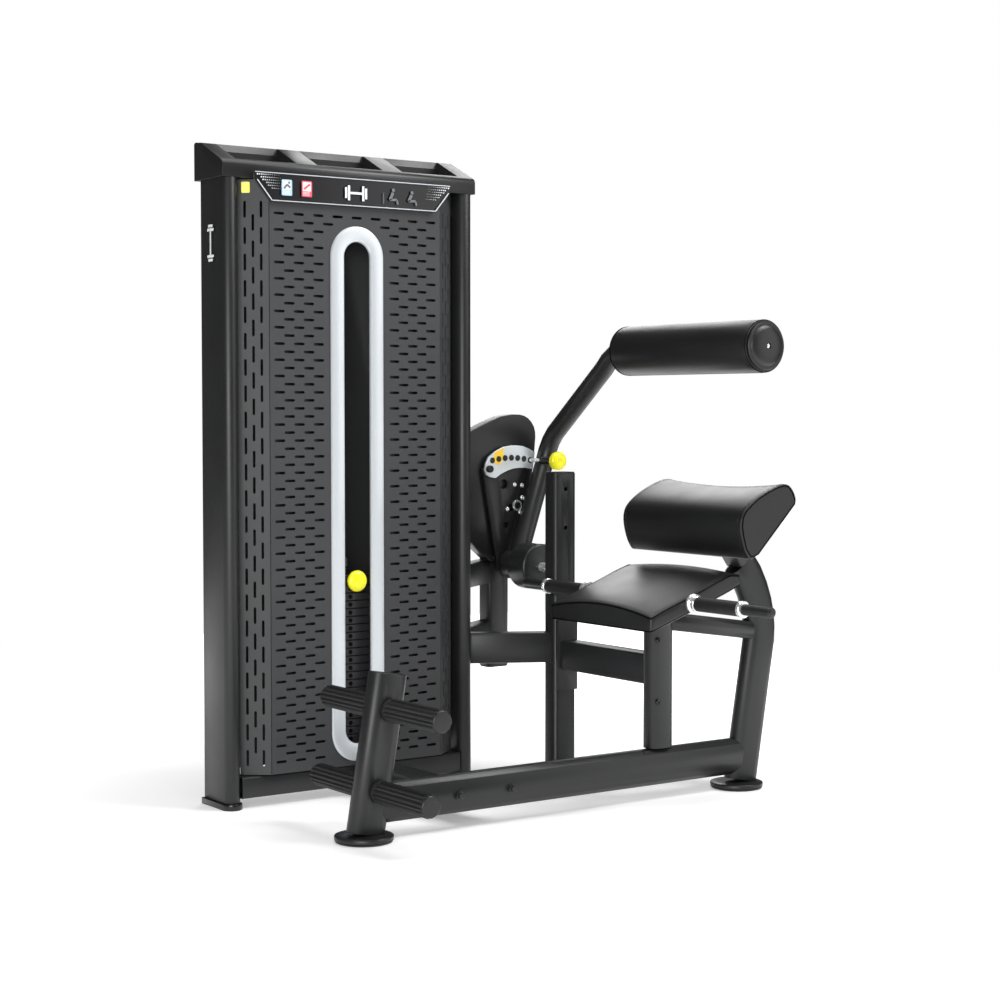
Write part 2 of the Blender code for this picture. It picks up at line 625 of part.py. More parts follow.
def bearing_post():
    outline = rounded_box(0.070, 0.050, 0.012, 4)
    inner = rounded_box(0.064, 0.044, 0.009, 4)
    centre = (BEARING_POST_X, BEARING_POST_Y)
    tube = sweep(straight((*centre, 0.252), (*centre, 0.604), X), outline, inner, True)
    post = piece("bearing_post", tube, "frame_paint")
    cut(post, "shaft_hole", turned([(0.1, 0.0129), (0.4, 0.0129)], (PIVOT_X, 0, PIVOT_Z), Y, 20))
    shaft = [(-0.0387, 0.0125), (0.2824, 0.0125), (0.2825, 0.0200), (BACK_REACH, 0.0180)]
    piece("pivot_shaft", turned(shaft, (PIVOT_X, 0, PIVOT_Z), Y, 20), "chrome")


def brace_tools(outline_clear):
    """Envelopes of the tower's right upright and of both posts, to cope the braces with."""
    y = UPRIGHT_D / 2
    upright = [(X * UPRIGHT_X[1] + Y * y + Z * z, X, Y) for z in (0.2, 0.7)]
    yield "upright", sweep(upright, d_outline(UPRIGHT_W + 2 * GAP, UPRIGHT_D + 2 * GAP))
    for name, x, post_y in (("near", POST_X, POST_Y), ("far", BEARING_POST_X, BEARING_POST_Y)):
        yield name, sweep(straight((x, post_y, 0.2), (x, post_y, 0.7), X), outline_clear)


def braces():
    """The three beams that tie the tower to the two pivot posts."""
    clear = rounded_box(0.070 + 2 * GAP, 0.050 + 2 * GAP, 0.012, 4)
    routes = (("brace_near", (0.690, 0.062), (POST_X - 0.010, -0.062), (0.296, 0.374)),
              ("brace_far_upper", (0.690, 0.1027), (0.930, 0.2673), (0.478, 0.541)),
              ("brace_far_lower", (0.690, 0.1027), (0.930, 0.2673), (0.300, 0.375)))
    for name, start, end, (low, high) in routes:
        middle = (low + high) / 2
        route = straight((*start, middle), (*end, middle), Z)
        beam = piece(name, tube_box(route, high - low, 0.050), "frame_paint")
        for tool, bm in brace_tools(clear):
            if tool != ("far" if name == "brace_near" else "near"):
                cut(beam, f"{tool}_cope", bm)
            else:
                bm.free()


# ---------------------------------------------------------------- swinging parts, at rest


def sector(hub, radius, start, end):
    """A sector plate's outline: a round hub widening to an arc, angles in degrees from +X."""
    rim = arc((0, 0), radius, start, end, 12)
    return moved(rim + arc((0, 0), hub, end + 90, start + 270, 10), PIVOT_X, PIVOT_Z)


def hole_plate_outline():
    """The plate of start holes: an arched band whose free end droops towards the hub."""
    top = [(1.0300, 0.8330), (0.9900, 0.8500), (0.9530, 0.8520), (0.9260, 0.8480), (0.9000, 0.8370)]
    end = [(0.8776, 0.8217), (0.8680, 0.8040), (0.8646, 0.7875), (0.8700, 0.7750), (0.8830, 0.7680)]
    bottom = [(0.9004, 0.7654), (0.9400, 0.7850), (0.9800, 0.7915), (1.0240, 0.7880)]
    return top + end + bottom


def bore(radius, x=PIVOT_X, z=PIVOT_Z, count=20):
    return turned([(0.0, radius), (0.4, radius)], (x, 0, z), Y, count)


def cam():
    """The sector plate, its plate of start holes and the grooved cam that winds the cable."""
    at = Vector((PIVOT_X, 0, PIVOT_Z))
    plate = prism(sector(0.040, 0.272, 75, 109), "Y", 0.183, 0.191)
    plate = piece("cam_sector", plate, "cover_black", origin=at)
    cut(plate, "bore", bore(0.0129))
    for i, (r, angle, size) in enumerate(((0.215, 95, 0.013), (0.150, 88, 0.011), (0.105, 96, 0.009))):
        a = math.radians(angle)
        hole = bore(size, PIVOT_X + r * math.cos(a), PIVOT_Z + r * math.sin(a), 16)
        cut(plate, f"window_{i}", hole)
    rom = prism(hole_plate_outline(), "Y", 0.1765, 0.1825)
    rom = piece("rom_plate", rom, "trim_silver", origin=at)
    for i in range(7):
        a = ROM_FIRST + i * ROM_STEP
        hole = bore(0.0065, PIVOT_X + ROM_HOLE_R * math.cos(a), PIVOT_Z + ROM_HOLE_R * math.sin(a), 12)
        cut(rom, f"hole_{i}", hole)
    wheel = prism(sector(0.026, CAM_R - 0.004, 77, 110.5), "Y", CAM_Y - 0.007, CAM_Y + 0.007)
    wheel = piece("cable_cam", wheel, "frame_paint", origin=at)
    cut(wheel, "bore", bore(0.0129))


def cam_cover():
    """The shell round the cable cam, open below at the hub and on the tower's side for the cable."""
    side = [(0.893, 0.5435), (0.852, 0.577), (0.808, 0.616), (0.728, 0.662), (0.682, 0.720)]
    side += [(0.664, 0.780), (0.668, 0.818), (0.700, 0.843), (0.750, 0.863), (0.800, 0.880)]
    side += [(0.832, 0.891), (0.889, 0.915), (0.930, 0.930), (0.965, 0.9355)]
    round_end = arc((0.988, 0.878), 0.057, 85, -5, 7)
    rear = [(1.038, 0.800), (1.018, 0.700), (0.998, 0.600), (0.990, 0.5435)]
    outline = (side + round_end + rear)[::-1]
    shell = piece("cam_cover", prism(outline, "Y", 0.194, 0.2317), "cover_black")
    middle = Vector((0.860, 0.740))
    inner = [tuple(Vector(p) + (middle - Vector(p)).normalized() * 0.0035) for p in outline]
    cut(shell, "inside", prism(inner, "Y", 0.197, 0.2287))
    cut(shell, "hub_gap", box((0.886, 0.197, 0.50), (0.986, 0.2287, 0.60)))
    cut(shell, "shaft_gap", turned([(0.19, 0.030), (0.24, 0.030)], (PIVOT_X, 0, PIVOT_Z), Y, 16))
    cut(shell, "cable_gap", box((0.60, 0.197, 0.800), (0.722, 0.2287, 0.900)))
    stud = turned([(0.1965, 0.0055), (0.2295, 0.0055)], (CAM_PULLEY.x, 0, CAM_PULLEY.z), Y, 12)
    cut(shell, "pulley_stud", stud, "UNION")


def arm_stations():
    points = [(0.9590, ARM_Y, 0.5610), (1.0440, ARM_Y, 0.8100), (1.0505, ARM_Y - 0.003, 0.8380),
              (1.0540, ARM_Y - 0.014, 0.8640), (1.0545, ARM_Y - 0.032, 0.8850), (1.0420, -0.110, 1.0540),
              (1.0402, -0.135, 1.0760), (1.0392, -0.162, 1.0915), (ROLLER_X, -0.180, ROLLER_Z),
              (ROLLER_X, -0.1965, ROLLER_Z)]
    stations = []
    side = Vector((1, 0, 0))
    for i, p in enumerate(points):
        before, after = Vector(points[max(i - 1, 0)]), Vector(points[min(i + 1, len(points) - 1)])
        stations.append(frame_at(p, after - before, side))
        side = stations[-1][1]
    return stations


def arm():
    at = Vector((PIVOT_X, 0, PIVOT_Z))
    tube = sweep(arm_stations(), round_outline(ARM_R, 18), round_outline(ARM_R - 0.003, 18))
    collar = turned([(ARM_Y - 0.0245, 0.040), (ARM_Y + 0.0245, 0.040)], (PIVOT_X, 0, PIVOT_Z), Y, 24)
    swing = piece("swing_arm", tube, "frame_paint", origin=at)
    cut(swing, "collar", collar, "UNION")
    cut(swing, "bore", bore(0.0129))
    pin = Vector((math.cos(ROM_FIRST), 0, math.sin(ROM_FIRST))) * ROM_HOLE_R + at
    cut(swing, "pin_bore", turned([(0.0, 0.0062), (0.3, 0.0062)], pin, Y, 12))
    knob = [(0.0405, 0.012), (0.0420, 0.021), (0.0480, 0.025), (0.0560, 0.025), (0.0620, 0.0215)]
    shank = [(0.0665, 0.012), (0.0670, 0.007), (0.0800, 0.007), (0.0805, 0.010), (0.1230, 0.010)]
    profile = knob + shank + [(0.1235, 0.0055), (0.1755, 0.0055), (0.1760, 0.0050)]
    piece("pop_pin", turned(profile, pin, Y, 16), "knob_yellow", origin=pin)
    drum = [(0.035, 0.0129), (0.035, 0.057), (0.039, 0.061), (0.106, 0.061), (0.110, 0.057), (0.110, 0.040),
            (0.1252, 0.040), (0.1252, 0.0129)]
    piece("pivot_drum", sleeve(drum, (PIVOT_X, 0, PIVOT_Z), Y, 28), "frame_paint", origin=at)


def roller():
    axis = Vector((ROLLER_X, 0, ROLLER_Z))
    axle = [(-0.1969, 0.0240), (-0.2030, 0.0240), (-0.2033, 0.0125), (-0.7225, 0.0125)]
    axle += [(-0.7228, 0.0565), (-0.7270, 0.0560), (-0.7320, 0.0500), (-0.7350, 0.0330), (-0.7360, 0.0120)]
    piece("roller_axle", turned(axle, axis, Y, 20), "chrome", origin=axis)
    pad = [(ROLLER_FAR, 0.0132), (ROLLER_FAR, 0.0560), (ROLLER_FAR - 0.003, 0.0605)]
    pad += [(ROLLER_FAR - 0.008, ROLLER_R), (ROLLER_NEAR + 0.018, ROLLER_R)]
    pad += [(ROLLER_NEAR + 0.0145, 0.0605), (ROLLER_NEAR + 0.0135, 0.0580), (ROLLER_NEAR + 0.0135, 0.0132)]
    piece("roller_pad", sleeve(pad, axis, Y, 32), "pad_leather", origin=axis)


def pulley_studs():
    """The welded studs that the two tower pulleys turn on."""
    bar = bpy.data.objects["rear_cross_bar"]
    ends = [(UPRIGHT_D + 0.004, 0.0055), (LOW_PULLEY.y + 0.014, 0.0055)]
    stud = turned(ends, (LOW_PULLEY.x, 0, LOW_PULLEY.z), Y, 12)
    cut(bar, "stud", stud, "UNION")
    beam = bpy.data.objects["tower_top_beam"]
    hanger = box((STACK_X + 0.014, 0.045, 1.405), (STACK_X + 0.020, 0.132, 1.4395))
    cut(beam, "hanger", hanger, "UNION")
    stud = turned([(-0.014, 0.0055), (0.018, 0.0055)], TOP_PULLEY, X, 12)
    cut(beam, "stud", stud, "UNION")


def main():
    clear_scene()
    machine = bpy.data.objects.new("machine", None)
    machine.location = -CENTRE
    bpy.context.collection.objects.link(machine)
    tower_frame()
    top_cap()
    front_shroud()
    header_panel()
    weight_stack()
    cable()
    pulleys()
    pulley_studs()
    seat_frame()
    seat_support()
    seat_pad()
    back_pad()
    handles()
    near_post()
    bearing_post()
    braces()
    cam()
    cam_cover()
    arm()
    roller()


main()
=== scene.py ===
"""Looks of the ab crunch machine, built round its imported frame. Metres, +Z up.

Places are given in the tower's own frame, whose origin is on the floor under the top cap's front
left corner: X runs along the front towards the seat, Y away from the user's side. at() turns them
into the row's frame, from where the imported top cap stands.
"""

import json
import math

import bmesh
import bpy
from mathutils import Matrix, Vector
from mathutils.geometry import delaunay_2d_cdt


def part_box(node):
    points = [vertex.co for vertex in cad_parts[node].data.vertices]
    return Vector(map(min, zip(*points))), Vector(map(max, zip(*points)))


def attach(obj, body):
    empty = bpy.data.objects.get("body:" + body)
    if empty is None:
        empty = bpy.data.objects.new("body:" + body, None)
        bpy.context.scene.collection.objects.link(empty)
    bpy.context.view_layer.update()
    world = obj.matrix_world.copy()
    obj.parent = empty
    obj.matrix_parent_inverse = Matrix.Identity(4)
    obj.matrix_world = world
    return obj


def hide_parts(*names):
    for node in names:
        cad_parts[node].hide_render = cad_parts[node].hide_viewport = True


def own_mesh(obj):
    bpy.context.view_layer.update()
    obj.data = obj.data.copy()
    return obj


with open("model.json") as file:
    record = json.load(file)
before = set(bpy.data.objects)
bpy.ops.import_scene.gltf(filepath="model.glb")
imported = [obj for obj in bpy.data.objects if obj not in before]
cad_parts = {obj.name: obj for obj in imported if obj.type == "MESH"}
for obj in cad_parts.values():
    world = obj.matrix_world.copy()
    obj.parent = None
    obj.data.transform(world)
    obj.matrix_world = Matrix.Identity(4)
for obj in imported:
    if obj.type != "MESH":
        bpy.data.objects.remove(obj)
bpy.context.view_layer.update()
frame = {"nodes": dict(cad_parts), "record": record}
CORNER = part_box("top_cap")[0]
X, Y, Z = Vector((1, 0, 0)), Vector((0, 1, 0)), Vector((0, 0, 1))


def at(x, y, z):
    return Vector((CORNER.x + x, CORNER.y + y, z))


def middle(node):
    low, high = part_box(node)
    return (low + high) / 2


# ---------------------------------------------------------------- camera, light and stage

EYE = at(-2.155, -4.177, 0.950)
HEADING = math.atan2(0.817, 0.576)
TILT_DOWN = math.radians(2.62)
FOCAL = 71.64  # mm, on a sensor 36 mm wide
FLOOR_HALF = 3.4
FLOOR_GLOW = (("From Min", 0.6), ("From Max", 2.4), ("To Min", 0.30), ("To Max", 0.95))
WORLD_ON_MACHINE, WORLD_TO_CAMERA = 0.09, 1.0


def camera():
    data = bpy.data.cameras.new("camera")
    data.lens = FOCAL
    data.sensor_width = 36
    cam = bpy.data.objects.new("camera", data)
    cam.location = EYE
    look = Vector((math.cos(HEADING), math.sin(HEADING), -math.tan(TILT_DOWN)))
    cam.rotation_euler = look.to_track_quat("-Z", "Y").to_euler()
    bpy.context.collection.objects.link(cam)
    bpy.context.scene.camera = cam


def area_light(name, place, aim, size, power):
    data = bpy.data.lights.new(name, "AREA")
    data.shape = "RECTANGLE"
    data.size, data.size_y = size
    data.energy = power
    lamp = bpy.data.objects.new(name, data)
    lamp.location = place
    lamp.rotation_euler = (aim - place).to_track_quat("-Z", "Y").to_euler()
    bpy.context.collection.objects.link(lamp)


def stage():
    aim = at(0.65, -0.3, 0.7)
    area_light("key", at(2.6, -2.3, 4.0), aim, (1.6, 2.0), 120)
    area_light("front_fill", at(-3.1, -3.9, 1.5), aim, (2.8, 2.4), 150)
    area_light("side_fill", at(3.6, -3.4, 1.4), aim, (2.4, 2.4), 26)
    area_light("top", at(0.4, -0.4, 4.4), aim, (3.4, 3.4), 100)
    area_light("rim", at(2.8, 2.6, 2.6), aim, (1.5, 2.5), 45)
    bm = bmesh.new()
    corners = [at(FLOOR_HALF * a, FLOOR_HALF * b, 0) for a, b in ((-1, -1), (1, -1), (1, 1), (-1, 1))]
    bm.faces.new([bm.verts.new(c) for c in corners])
    mesh = bpy.data.meshes.new("floor")
    bm.to_mesh(mesh)
    bm.free()
    floor = bpy.data.objects.new("floor", mesh)
    floor.data.materials.append(floor_white())
    bpy.context.collection.objects.link(floor)
    world_light()


def floor_white():
    """A pale floor that lights itself more the further it is from the machine, as a sweep does."""
    material = plain("floor_pale", (0.86, 0.86, 0.86), 0.9)
    nodes, links = material.node_tree.nodes, material.node_tree.links
    shader = nodes["Principled BSDF"]
    shader.inputs["Specular IOR Level"].default_value = 0.0
    place = nodes.new("ShaderNodeTexCoord")
    reach = nodes.new("ShaderNodeVectorMath")
    reach.operation = "LENGTH"
    links.new(place.outputs["Object"], reach.inputs[0])
    fade = nodes.new("ShaderNodeMapRange")
    fade.interpolation_type = "SMOOTHSTEP"
    for name, value in FLOOR_GLOW:
        fade.inputs[name].default_value = value
    links.new(reach.outputs["Value"], fade.inputs["Value"])
    shader.inputs["Emission Color"].default_value = (1, 1, 1, 1)
    links.new(fade.outputs["Result"], shader.inputs["Emission Strength"])
    return material


def world_light():
    """White where the camera sees it, and much dimmer where it lights the machine."""
    world = bpy.data.worlds.new("studio")
    bpy.context.scene.world = world
    world.use_nodes = True
    nodes, links = world.node_tree.nodes, world.node_tree.links
    nodes.clear()
    out = nodes.new("ShaderNodeOutputWorld")
    mix = nodes.new("ShaderNodeMixShader")
    path = nodes.new("ShaderNodeLightPath")
    shades = []
    for strength in (WORLD_ON_MACHINE, WORLD_TO_CAMERA):
        shade = nodes.new("ShaderNodeBackground")
        shade.inputs["Strength"].default_value = strength
        shade.inputs["Color"].default_value = (1, 1, 1, 1)
        shades.append(shade)
    links.new(path.outputs["Is Camera Ray"], mix.inputs[0])
    links.new(shades[0].outputs[0], mix.inputs[1])
    links.new(shades[1].outputs[0], mix.inputs[2])
    links.new(mix.outputs[0], out.inputs["Surface"])
    bpy.context.scene.view_settings.view_transform = "Standard"


# ---------------------------------------------------------------- materials


def plain(name, colour, roughness, metallic=0.0, coat=0.0):
    material = bpy.data.materials.new(name)
    material.use_nodes = True
    shader = material.node_tree.nodes["Principled BSDF"]
    shader.inputs["Base Color"].default_value = (*colour, 1)
    shader.inputs["Roughness"].default_value = roughness
    shader.inputs["Metallic"].default_value = metallic
    shader.inputs["Coat Weight"].default_value = coat
    shader.inputs["Coat Roughness"].default_value = 0.12
    return material


def textured(name, colour, roughness, grain, depth, spread=0.25, metallic=0.0, coat=0.0, cells=False,
             stretch=None):
    """A finish with grain: a fine bump, and slow changes of colour and roughness.

    grain is the size of one grain and depth its height, in metres; spread is how much the
    colour and the roughness wander. Leather takes cells in place of noise.
    """
    material = plain(name, colour, roughness, metallic, coat)
    nodes, links = material.node_tree.nodes, material.node_tree.links
    shader = nodes["Principled BSDF"]
    place = nodes.new("ShaderNodeTexCoord")
    scale = nodes.new("ShaderNodeMapping")
    scale.inputs["Scale"].default_value = stretch or (1, 1, 1)
    links.new(place.outputs["Object"], scale.inputs["Vector"])
    fine = nodes.new("ShaderNodeTexVoronoi" if cells else "ShaderNodeTexNoise")
    fine.inputs["Scale"].default_value = 1 / grain
    links.new(scale.outputs["Vector"], fine.inputs["Vector"])
    bump = nodes.new("ShaderNodeBump")
    bump.inputs["Distance"].default_value = depth
    bump.inputs["Strength"].default_value = 0.7
    links.new(fine.outputs["Distance" if cells else "Fac"], bump.inputs["Height"])
    links.new(bump.outputs["Normal"], shader.inputs["Normal"])
    slow = nodes.new("ShaderNodeTexNoise")
    slow.inputs["Scale"].default_value = 9
    slow.inputs["Detail"].default_value = 6
    links.new(scale.outputs["Vector"], slow.inputs["Vector"])
    tint = nodes.new("ShaderNodeMix")
    tint.data_type = "RGBA"
    tint.inputs["A"].default_value = (*[c * (1 - spread) for c in colour], 1)
    tint.inputs["B"].default_value = (*[min(c * (1 + spread), 1) for c in colour], 1)
    links.new(slow.outputs["Fac"], tint.inputs["Factor"])
    links.new(tint.outputs["Result"], shader.inputs["Base Color"])
    rough = nodes.new("ShaderNodeMapRange")
    rough.inputs["To Min"].default_value = max(roughness - 0.08, 0.03)
    rough.inputs["To Max"].default_value = min(roughness + 0.08, 1.0)
    links.new(slow.outputs["Fac"], rough.inputs["Value"])
    links.new(rough.outputs["Result"], shader.inputs["Roughness"])
    return material


MATERIALS = {
    "frame_paint": textured("frame_paint", (0.015, 0.0155, 0.0165), 0.38, 0.0009, 0.00006, 0.14, 0.1),
    "shroud_paint": textured("shroud_paint", (0.043, 0.044, 0.046), 0.56, 0.0011, 0.00010, 0.10, 0.1),
    "trim_silver": textured("trim_silver", (0.70, 0.74, 0.77), 0.36, 0.0006, 0.00002, 0.05, 0.45,
                            stretch=(1, 1, 0.04)),
    "gloss_black": textured("gloss_black", (0.008, 0.008, 0.009), 0.22, 0.0030, 0.00001, 0.2),
    "pad_leather": textured("pad_leather", (0.006, 0.006, 0.0065), 0.40, 0.0016, 0.00012, 0.25, cells=True),
    "rubber_black": textured("rubber_black", (0.008, 0.008, 0.009), 0.55, 0.0008, 0.00006, 0.2),
    "knob_yellow": textured("knob_yellow", (0.93, 0.86, 0.010), 0.34, 0.0012, 0.00003, 0.06, coat=0.25),
    "chrome": textured("chrome", (0.86, 0.87, 0.88), 0.20, 0.0020, 0.000005, 0.05, 0.75),
    "stack_steel": textured("stack_steel", (0.040, 0.040, 0.043), 0.42, 0.0010, 0.00005, 0.2, 0.4),
    "cover_black": textured("cover_black", (0.009, 0.009, 0.010), 0.38, 0.0008, 0.00004, 0.15),
    "seam_black": textured("seam_black", (0.003, 0.003, 0.003), 0.5, 0.0010, 0.00004, 0.2),
    "cable_black": textured("cable_black", (0.012, 0.012, 0.012), 0.45, 0.0015, 0.00004, 0.2),
}

# Piping reads as a dark line only if it hardly shines.
# The piping and the roller's seams are near black and hardly shine: partly their own dark colour, partly
# painted shade of the seams' grooves.
MATERIALS["seam_black"].node_tree.nodes["Principled BSDF"].inputs["Specular IOR Level"].default_value = 0.05
CABLES = ("drive_cable", "lift_cable")
HEAVY_EDGES = ("top_cap", "pivot_post", "front_foot", "rear_foot")


def finish_nodes():
    """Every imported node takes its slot's finish. Those that show, except cables, get a softened edge."""
    for part in frame["record"]["subparts"]:
        node = frame["nodes"][part["node"]]
        node.data.materials.clear()
        node.data.materials.append(MATERIALS[part["material_slot"]])
        if node.hide_render or part["node"] in CABLES:
            continue
        low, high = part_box(part["node"])
        weld = node.modifiers.new("weld", "WELD")
        weld.merge_threshold = 0.00002
        edge = node.modifiers.new("edge", "BEVEL")
        widest = 0.0025 if part["node"] in HEAVY_EDGES else 0.0012
        edge.width = min(widest, min(high - low) * 0.15)
        edge.segments = 2
        edge.limit_method = "ANGLE"
        edge.angle_limit = math.radians(40)
        edge.use_clamp_overlap = True
        node.data.shade_smooth()
        node.data.set_sharp_from_angle(angle=math.radians(32))


# ---------------------------------------------------------------- mesh tools


def piece(name, bm, material, body="frame", nodes=(), sharp=35, bevel=0.0, shown_as=None):
    """A finished piece: it rides on a body, and stands for the given CAD nodes."""
    bmesh.ops.recalc_face_normals(bm, faces=bm.faces)
    mesh = bpy.data.meshes.new(name)
    bm.to_mesh(mesh)
    bm.free()
    mesh.materials.append(shown_as or MATERIALS[material])
    mesh.shade_smooth()
    mesh.set_sharp_from_angle(angle=math.radians(sharp))
    obj = bpy.data.objects.new(name, mesh)
    bpy.context.collection.objects.link(obj)
    if bevel:
        edge = obj.modifiers.new("edge", "BEVEL")
        edge.width = bevel
        edge.segments = 2
        edge.limit_method = "ANGLE"
        edge.angle_limit = math.radians(35)
    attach(obj, body)
    if nodes:
        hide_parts(*nodes)
    return obj


def arc(centre, radius, start, end, count):
    step = (end - start) / (count - 1)
    angles = [math.radians(start + step * i) for i in range(count)]
    return [(centre[0] + radius * math.cos(a), centre[1] + radius * math.sin(a)) for a in angles]


def stadium(width, height, count=9):
    """A flat oval's outline round the origin, counter-clockwise."""
    if width < height:
        return [(-b, a) for a, b in stadium(height, width, count)]
    r, s = height / 2, (width - height) / 2
    return arc((s, 0), r, -90, 90, count) + arc((-s, 0), r, 90, 270, count)


def moved(outline, a, b):
    return [(p + a, q + b) for p, q in outline]


def ring(bm, centre, first, second, outline):
    """Adds an outline's points in the plane of two directions, and gives them back."""
    return [bm.verts.new(centre + first * a + second * b) for a, b in outline]


def skin(bm, low, high):
    """Adds the band of faces between two rings."""
    for i in range(len(low)):
        j = (i + 1) % len(low)
        bm.faces.new((low[i], low[j], high[j], high[i]))


def across(direction):
    """Two directions square to this one."""
    side = Z if abs(direction.dot(Z)) < 0.9 else X
    first = (side - direction * direction.dot(side)).normalized()
    return first, direction.cross(first)


def lathe(bm, profile, start, direction, count=40, closed=False):
    """Adds a turned shape: profile is (distance along the axis, radius)."""
    direction = direction.normalized()
    first, second = across(direction)
    circle = [(math.cos(2 * math.pi * i / count), math.sin(2 * math.pi * i / count)) for i in range(count)]
    rings = [ring(bm, start + direction * d, first * r, second * r, circle) for d, r in profile]
    for low, high in zip(rings, rings[1:]):
        skin(bm, low, high)
    if closed:
        skin(bm, rings[-1], rings[0])
    else:
        bm.faces.new(rings[0])
        bm.faces.new(rings[-1])
    return bm


def turned(profile, start, direction, count=40, closed=False):
    return lathe(bmesh.new(), profile, start, direction, count, closed)


def slab(bm, outline, first, second, base, thickness):
    """Adds a plate: an outline in the plane of two directions, grown along their cross product."""
    normal = first.cross(second).normalized() * thickness
    low = ring(bm, base, first, second, outline)
    high = ring(bm, base + normal, first, second, outline)
    skin(bm, low, high)
    bm.faces.new(low)
    bm.faces.new(high)


def rounded(a_low, a_high, b_low, b_high, r, count=5):
    """A rectangle's outline with rounded corners, counter-clockwise."""
    corners = (((a_high - r, b_low + r), -90), ((a_high - r, b_high - r), 0),
               ((a_low + r, b_high - r), 90), ((a_low + r, b_low + r), 180))
    return [p for centre, start in corners for p in arc(centre, r, start, start + 90, count)]


def tube_path(bm, points, radius, count=10):
    """Adds a round bar along points, closed at both ends."""
    rings = []
    side = None
    circle = [(math.cos(2 * math.pi * i / count), math.sin(2 * math.pi * i / count)) for i in range(count)]
    for i, p in enumerate(points):
        along = (points[min(i + 1, len(points) - 1)] - points[max(i - 1, 0)]).normalized()
        if side is None:
            side = across(along)[0]
        side = (side - along * along.dot(side)).normalized()
        rings.append(ring(bm, p, side * radius, along.cross(side) * radius, circle))
    for low, high in zip(rings, rings[1:]):
        skin(bm, low, high)
    bm.faces.new(rings[0])
    bm.faces.new(rings[-1])


# ---------------------------------------------------------------- tower

# The shroud's front lies between its two folds, and a wing runs back from each fold to the edge.
FOLD_X = (0.116, 0.597)
EDGE_X = (0.056, 0.657)
FACE_Y, EDGE_Y = -0.010, 0.034
SHEET = 0.0028
SHROUD_LOW, SHROUD_HIGH = 0.078, 1.490
# Each outline round the selector's slot is its width, then its lowest and highest Z.
SLOT_X = 0.355
SLOT_OPEN = (0.094, 0.121, 1.364)
TRIM_OUTER = (0.148, 0.088, 1.392)
TRIM_INNER = (0.074, 0.131, 1.354)
TRIM_WIDE = 0.037
HOLE_PITCH, ROW_PITCH = 0.0535, 0.0192
FIRST_ROW, ROWS_FROM, ROWS_TO = 0.1065, 0.105, 1.438
WING_PITCH = 0.062
HEADER_X, HEADER_FACE = 0.346, -0.0262
PRINT_THICK = 0.0003


def punched(bm, outer, holes, origin, first, second, thickness):
    """Adds a sheet with holes: its outline, then the holes, in the plane of two directions."""
    flat = [Vector(p) for p in outer]
    loops = [list(range(len(flat)))]
    for hole in holes:
        loops.append(list(range(len(flat), len(flat) + len(hole))))
        flat += [Vector(p) for p in hole]
    points, _, faces, _, _, source = delaunay_2d_cdt(flat, [], loops, 1, 1e-7)
    normal = first.cross(second).normalized() * thickness
    front = [bm.verts.new(origin + first * p.x + second * p.y) for p in points]
    back = [bm.verts.new(v.co + normal) for v in front]
    rims = {}
    for face, owners in zip(faces, source):
        if owners != [0]:
            continue
        bm.faces.new([front[i] for i in face])
        bm.faces.new([back[i] for i in reversed(face)])
        for i, j in zip(face, face[1:] + face[:1]):
            rims[(i, j)] = True
    for i, j in list(rims):
        if (j, i) not in rims:
            bm.faces.new((front[i], back[i], back[j], front[j]))
    loose = [v for v in bm.verts if not v.link_faces]
    bmesh.ops.delete(bm, geom=loose, context="VERTS")


def clear_of_trim(x, z):
    """Whether a small slot centred here misses the silver surround."""
    half = TRIM_OUTER[0] / 2 + 0.008
    low, high = TRIM_OUTER[1] + half, TRIM_OUTER[2] - half
    nearest = min(max(z, low), high)
    return math.hypot(x - SLOT_X, z - nearest) > half + 0.012


def front_shroud():
    """The folded front plate: staggered rows of slots, and upright slots in the wings."""
    bottom, top = SHROUD_LOW, SHROUD_HIGH
    bm = bmesh.new()
    low, high = FOLD_X
    width, slot_low, slot_high = SLOT_OPEN
    holes = [moved(stadium(width, slot_high - slot_low, 11), SLOT_X, (slot_low + slot_high) / 2)]
    small = stadium(0.029, 0.0064, 4)
    rows = int((ROWS_TO - ROWS_FROM) / ROW_PITCH)
    for row in range(rows):
        z = FIRST_ROW + row * ROW_PITCH
        start = low + 0.026 + (HOLE_PITCH / 2 if row % 2 else 0)
        for column in range(9):
            x = start + column * HOLE_PITCH
            if x < high - 0.020 and clear_of_trim(x, z):
                holes.append(moved(small, x, z))
    outer = [(low, bottom), (high, bottom), (high, top), (low, top)]
    punched(bm, outer, holes, at(0, FACE_Y, 0), X, Z, SHEET)
    wing_slot = stadium(0.0062, 0.040, 4)
    for edge_x, fold_x in ((EDGE_X[0], low), (EDGE_X[1], high)):
        start, end = (edge_x, fold_x) if edge_x < fold_x else (fold_x, edge_x)
        start_y, end_y = (EDGE_Y, FACE_Y) if edge_x < fold_x else (FACE_Y, EDGE_Y)
        first = Vector((end - start, end_y - start_y, 0))
        width = first.length
        first.normalize()
        holes = []
        for column, share in enumerate((0.24, 0.50, 0.76)):
            z = 0.118 + (WING_PITCH / 2 if column == 1 else 0)
            while z < 1.425:
                holes.append(moved(wing_slot, width * share, z))
                z += WING_PITCH
        outer = [(0, bottom), (width, bottom), (width, top), (0, top)]
        punched(bm, outer, holes, at(start, start_y, 0), first, Z, SHEET)
    piece("front_shroud_sheet", bm, "shroud_paint", nodes=["front_shroud"], sharp=12)
    # A dark sheet just behind the holes either side of the slot: painted shade, standing in for the shade
    # inside the tower.
    dark = bmesh.new()
    for side in (-1, 1):
        inner, outer = SLOT_X + side * 0.062, SLOT_X + side * 0.236
        a, b = min(inner, outer), max(inner, outer)
        slab(dark, rounded(a, b, 0.09, 1.43, 0.004, 2), X, Z, at(0, 0.001, 0), 0.0008)
    piece("shroud_painted_shade", dark, "cover_black")


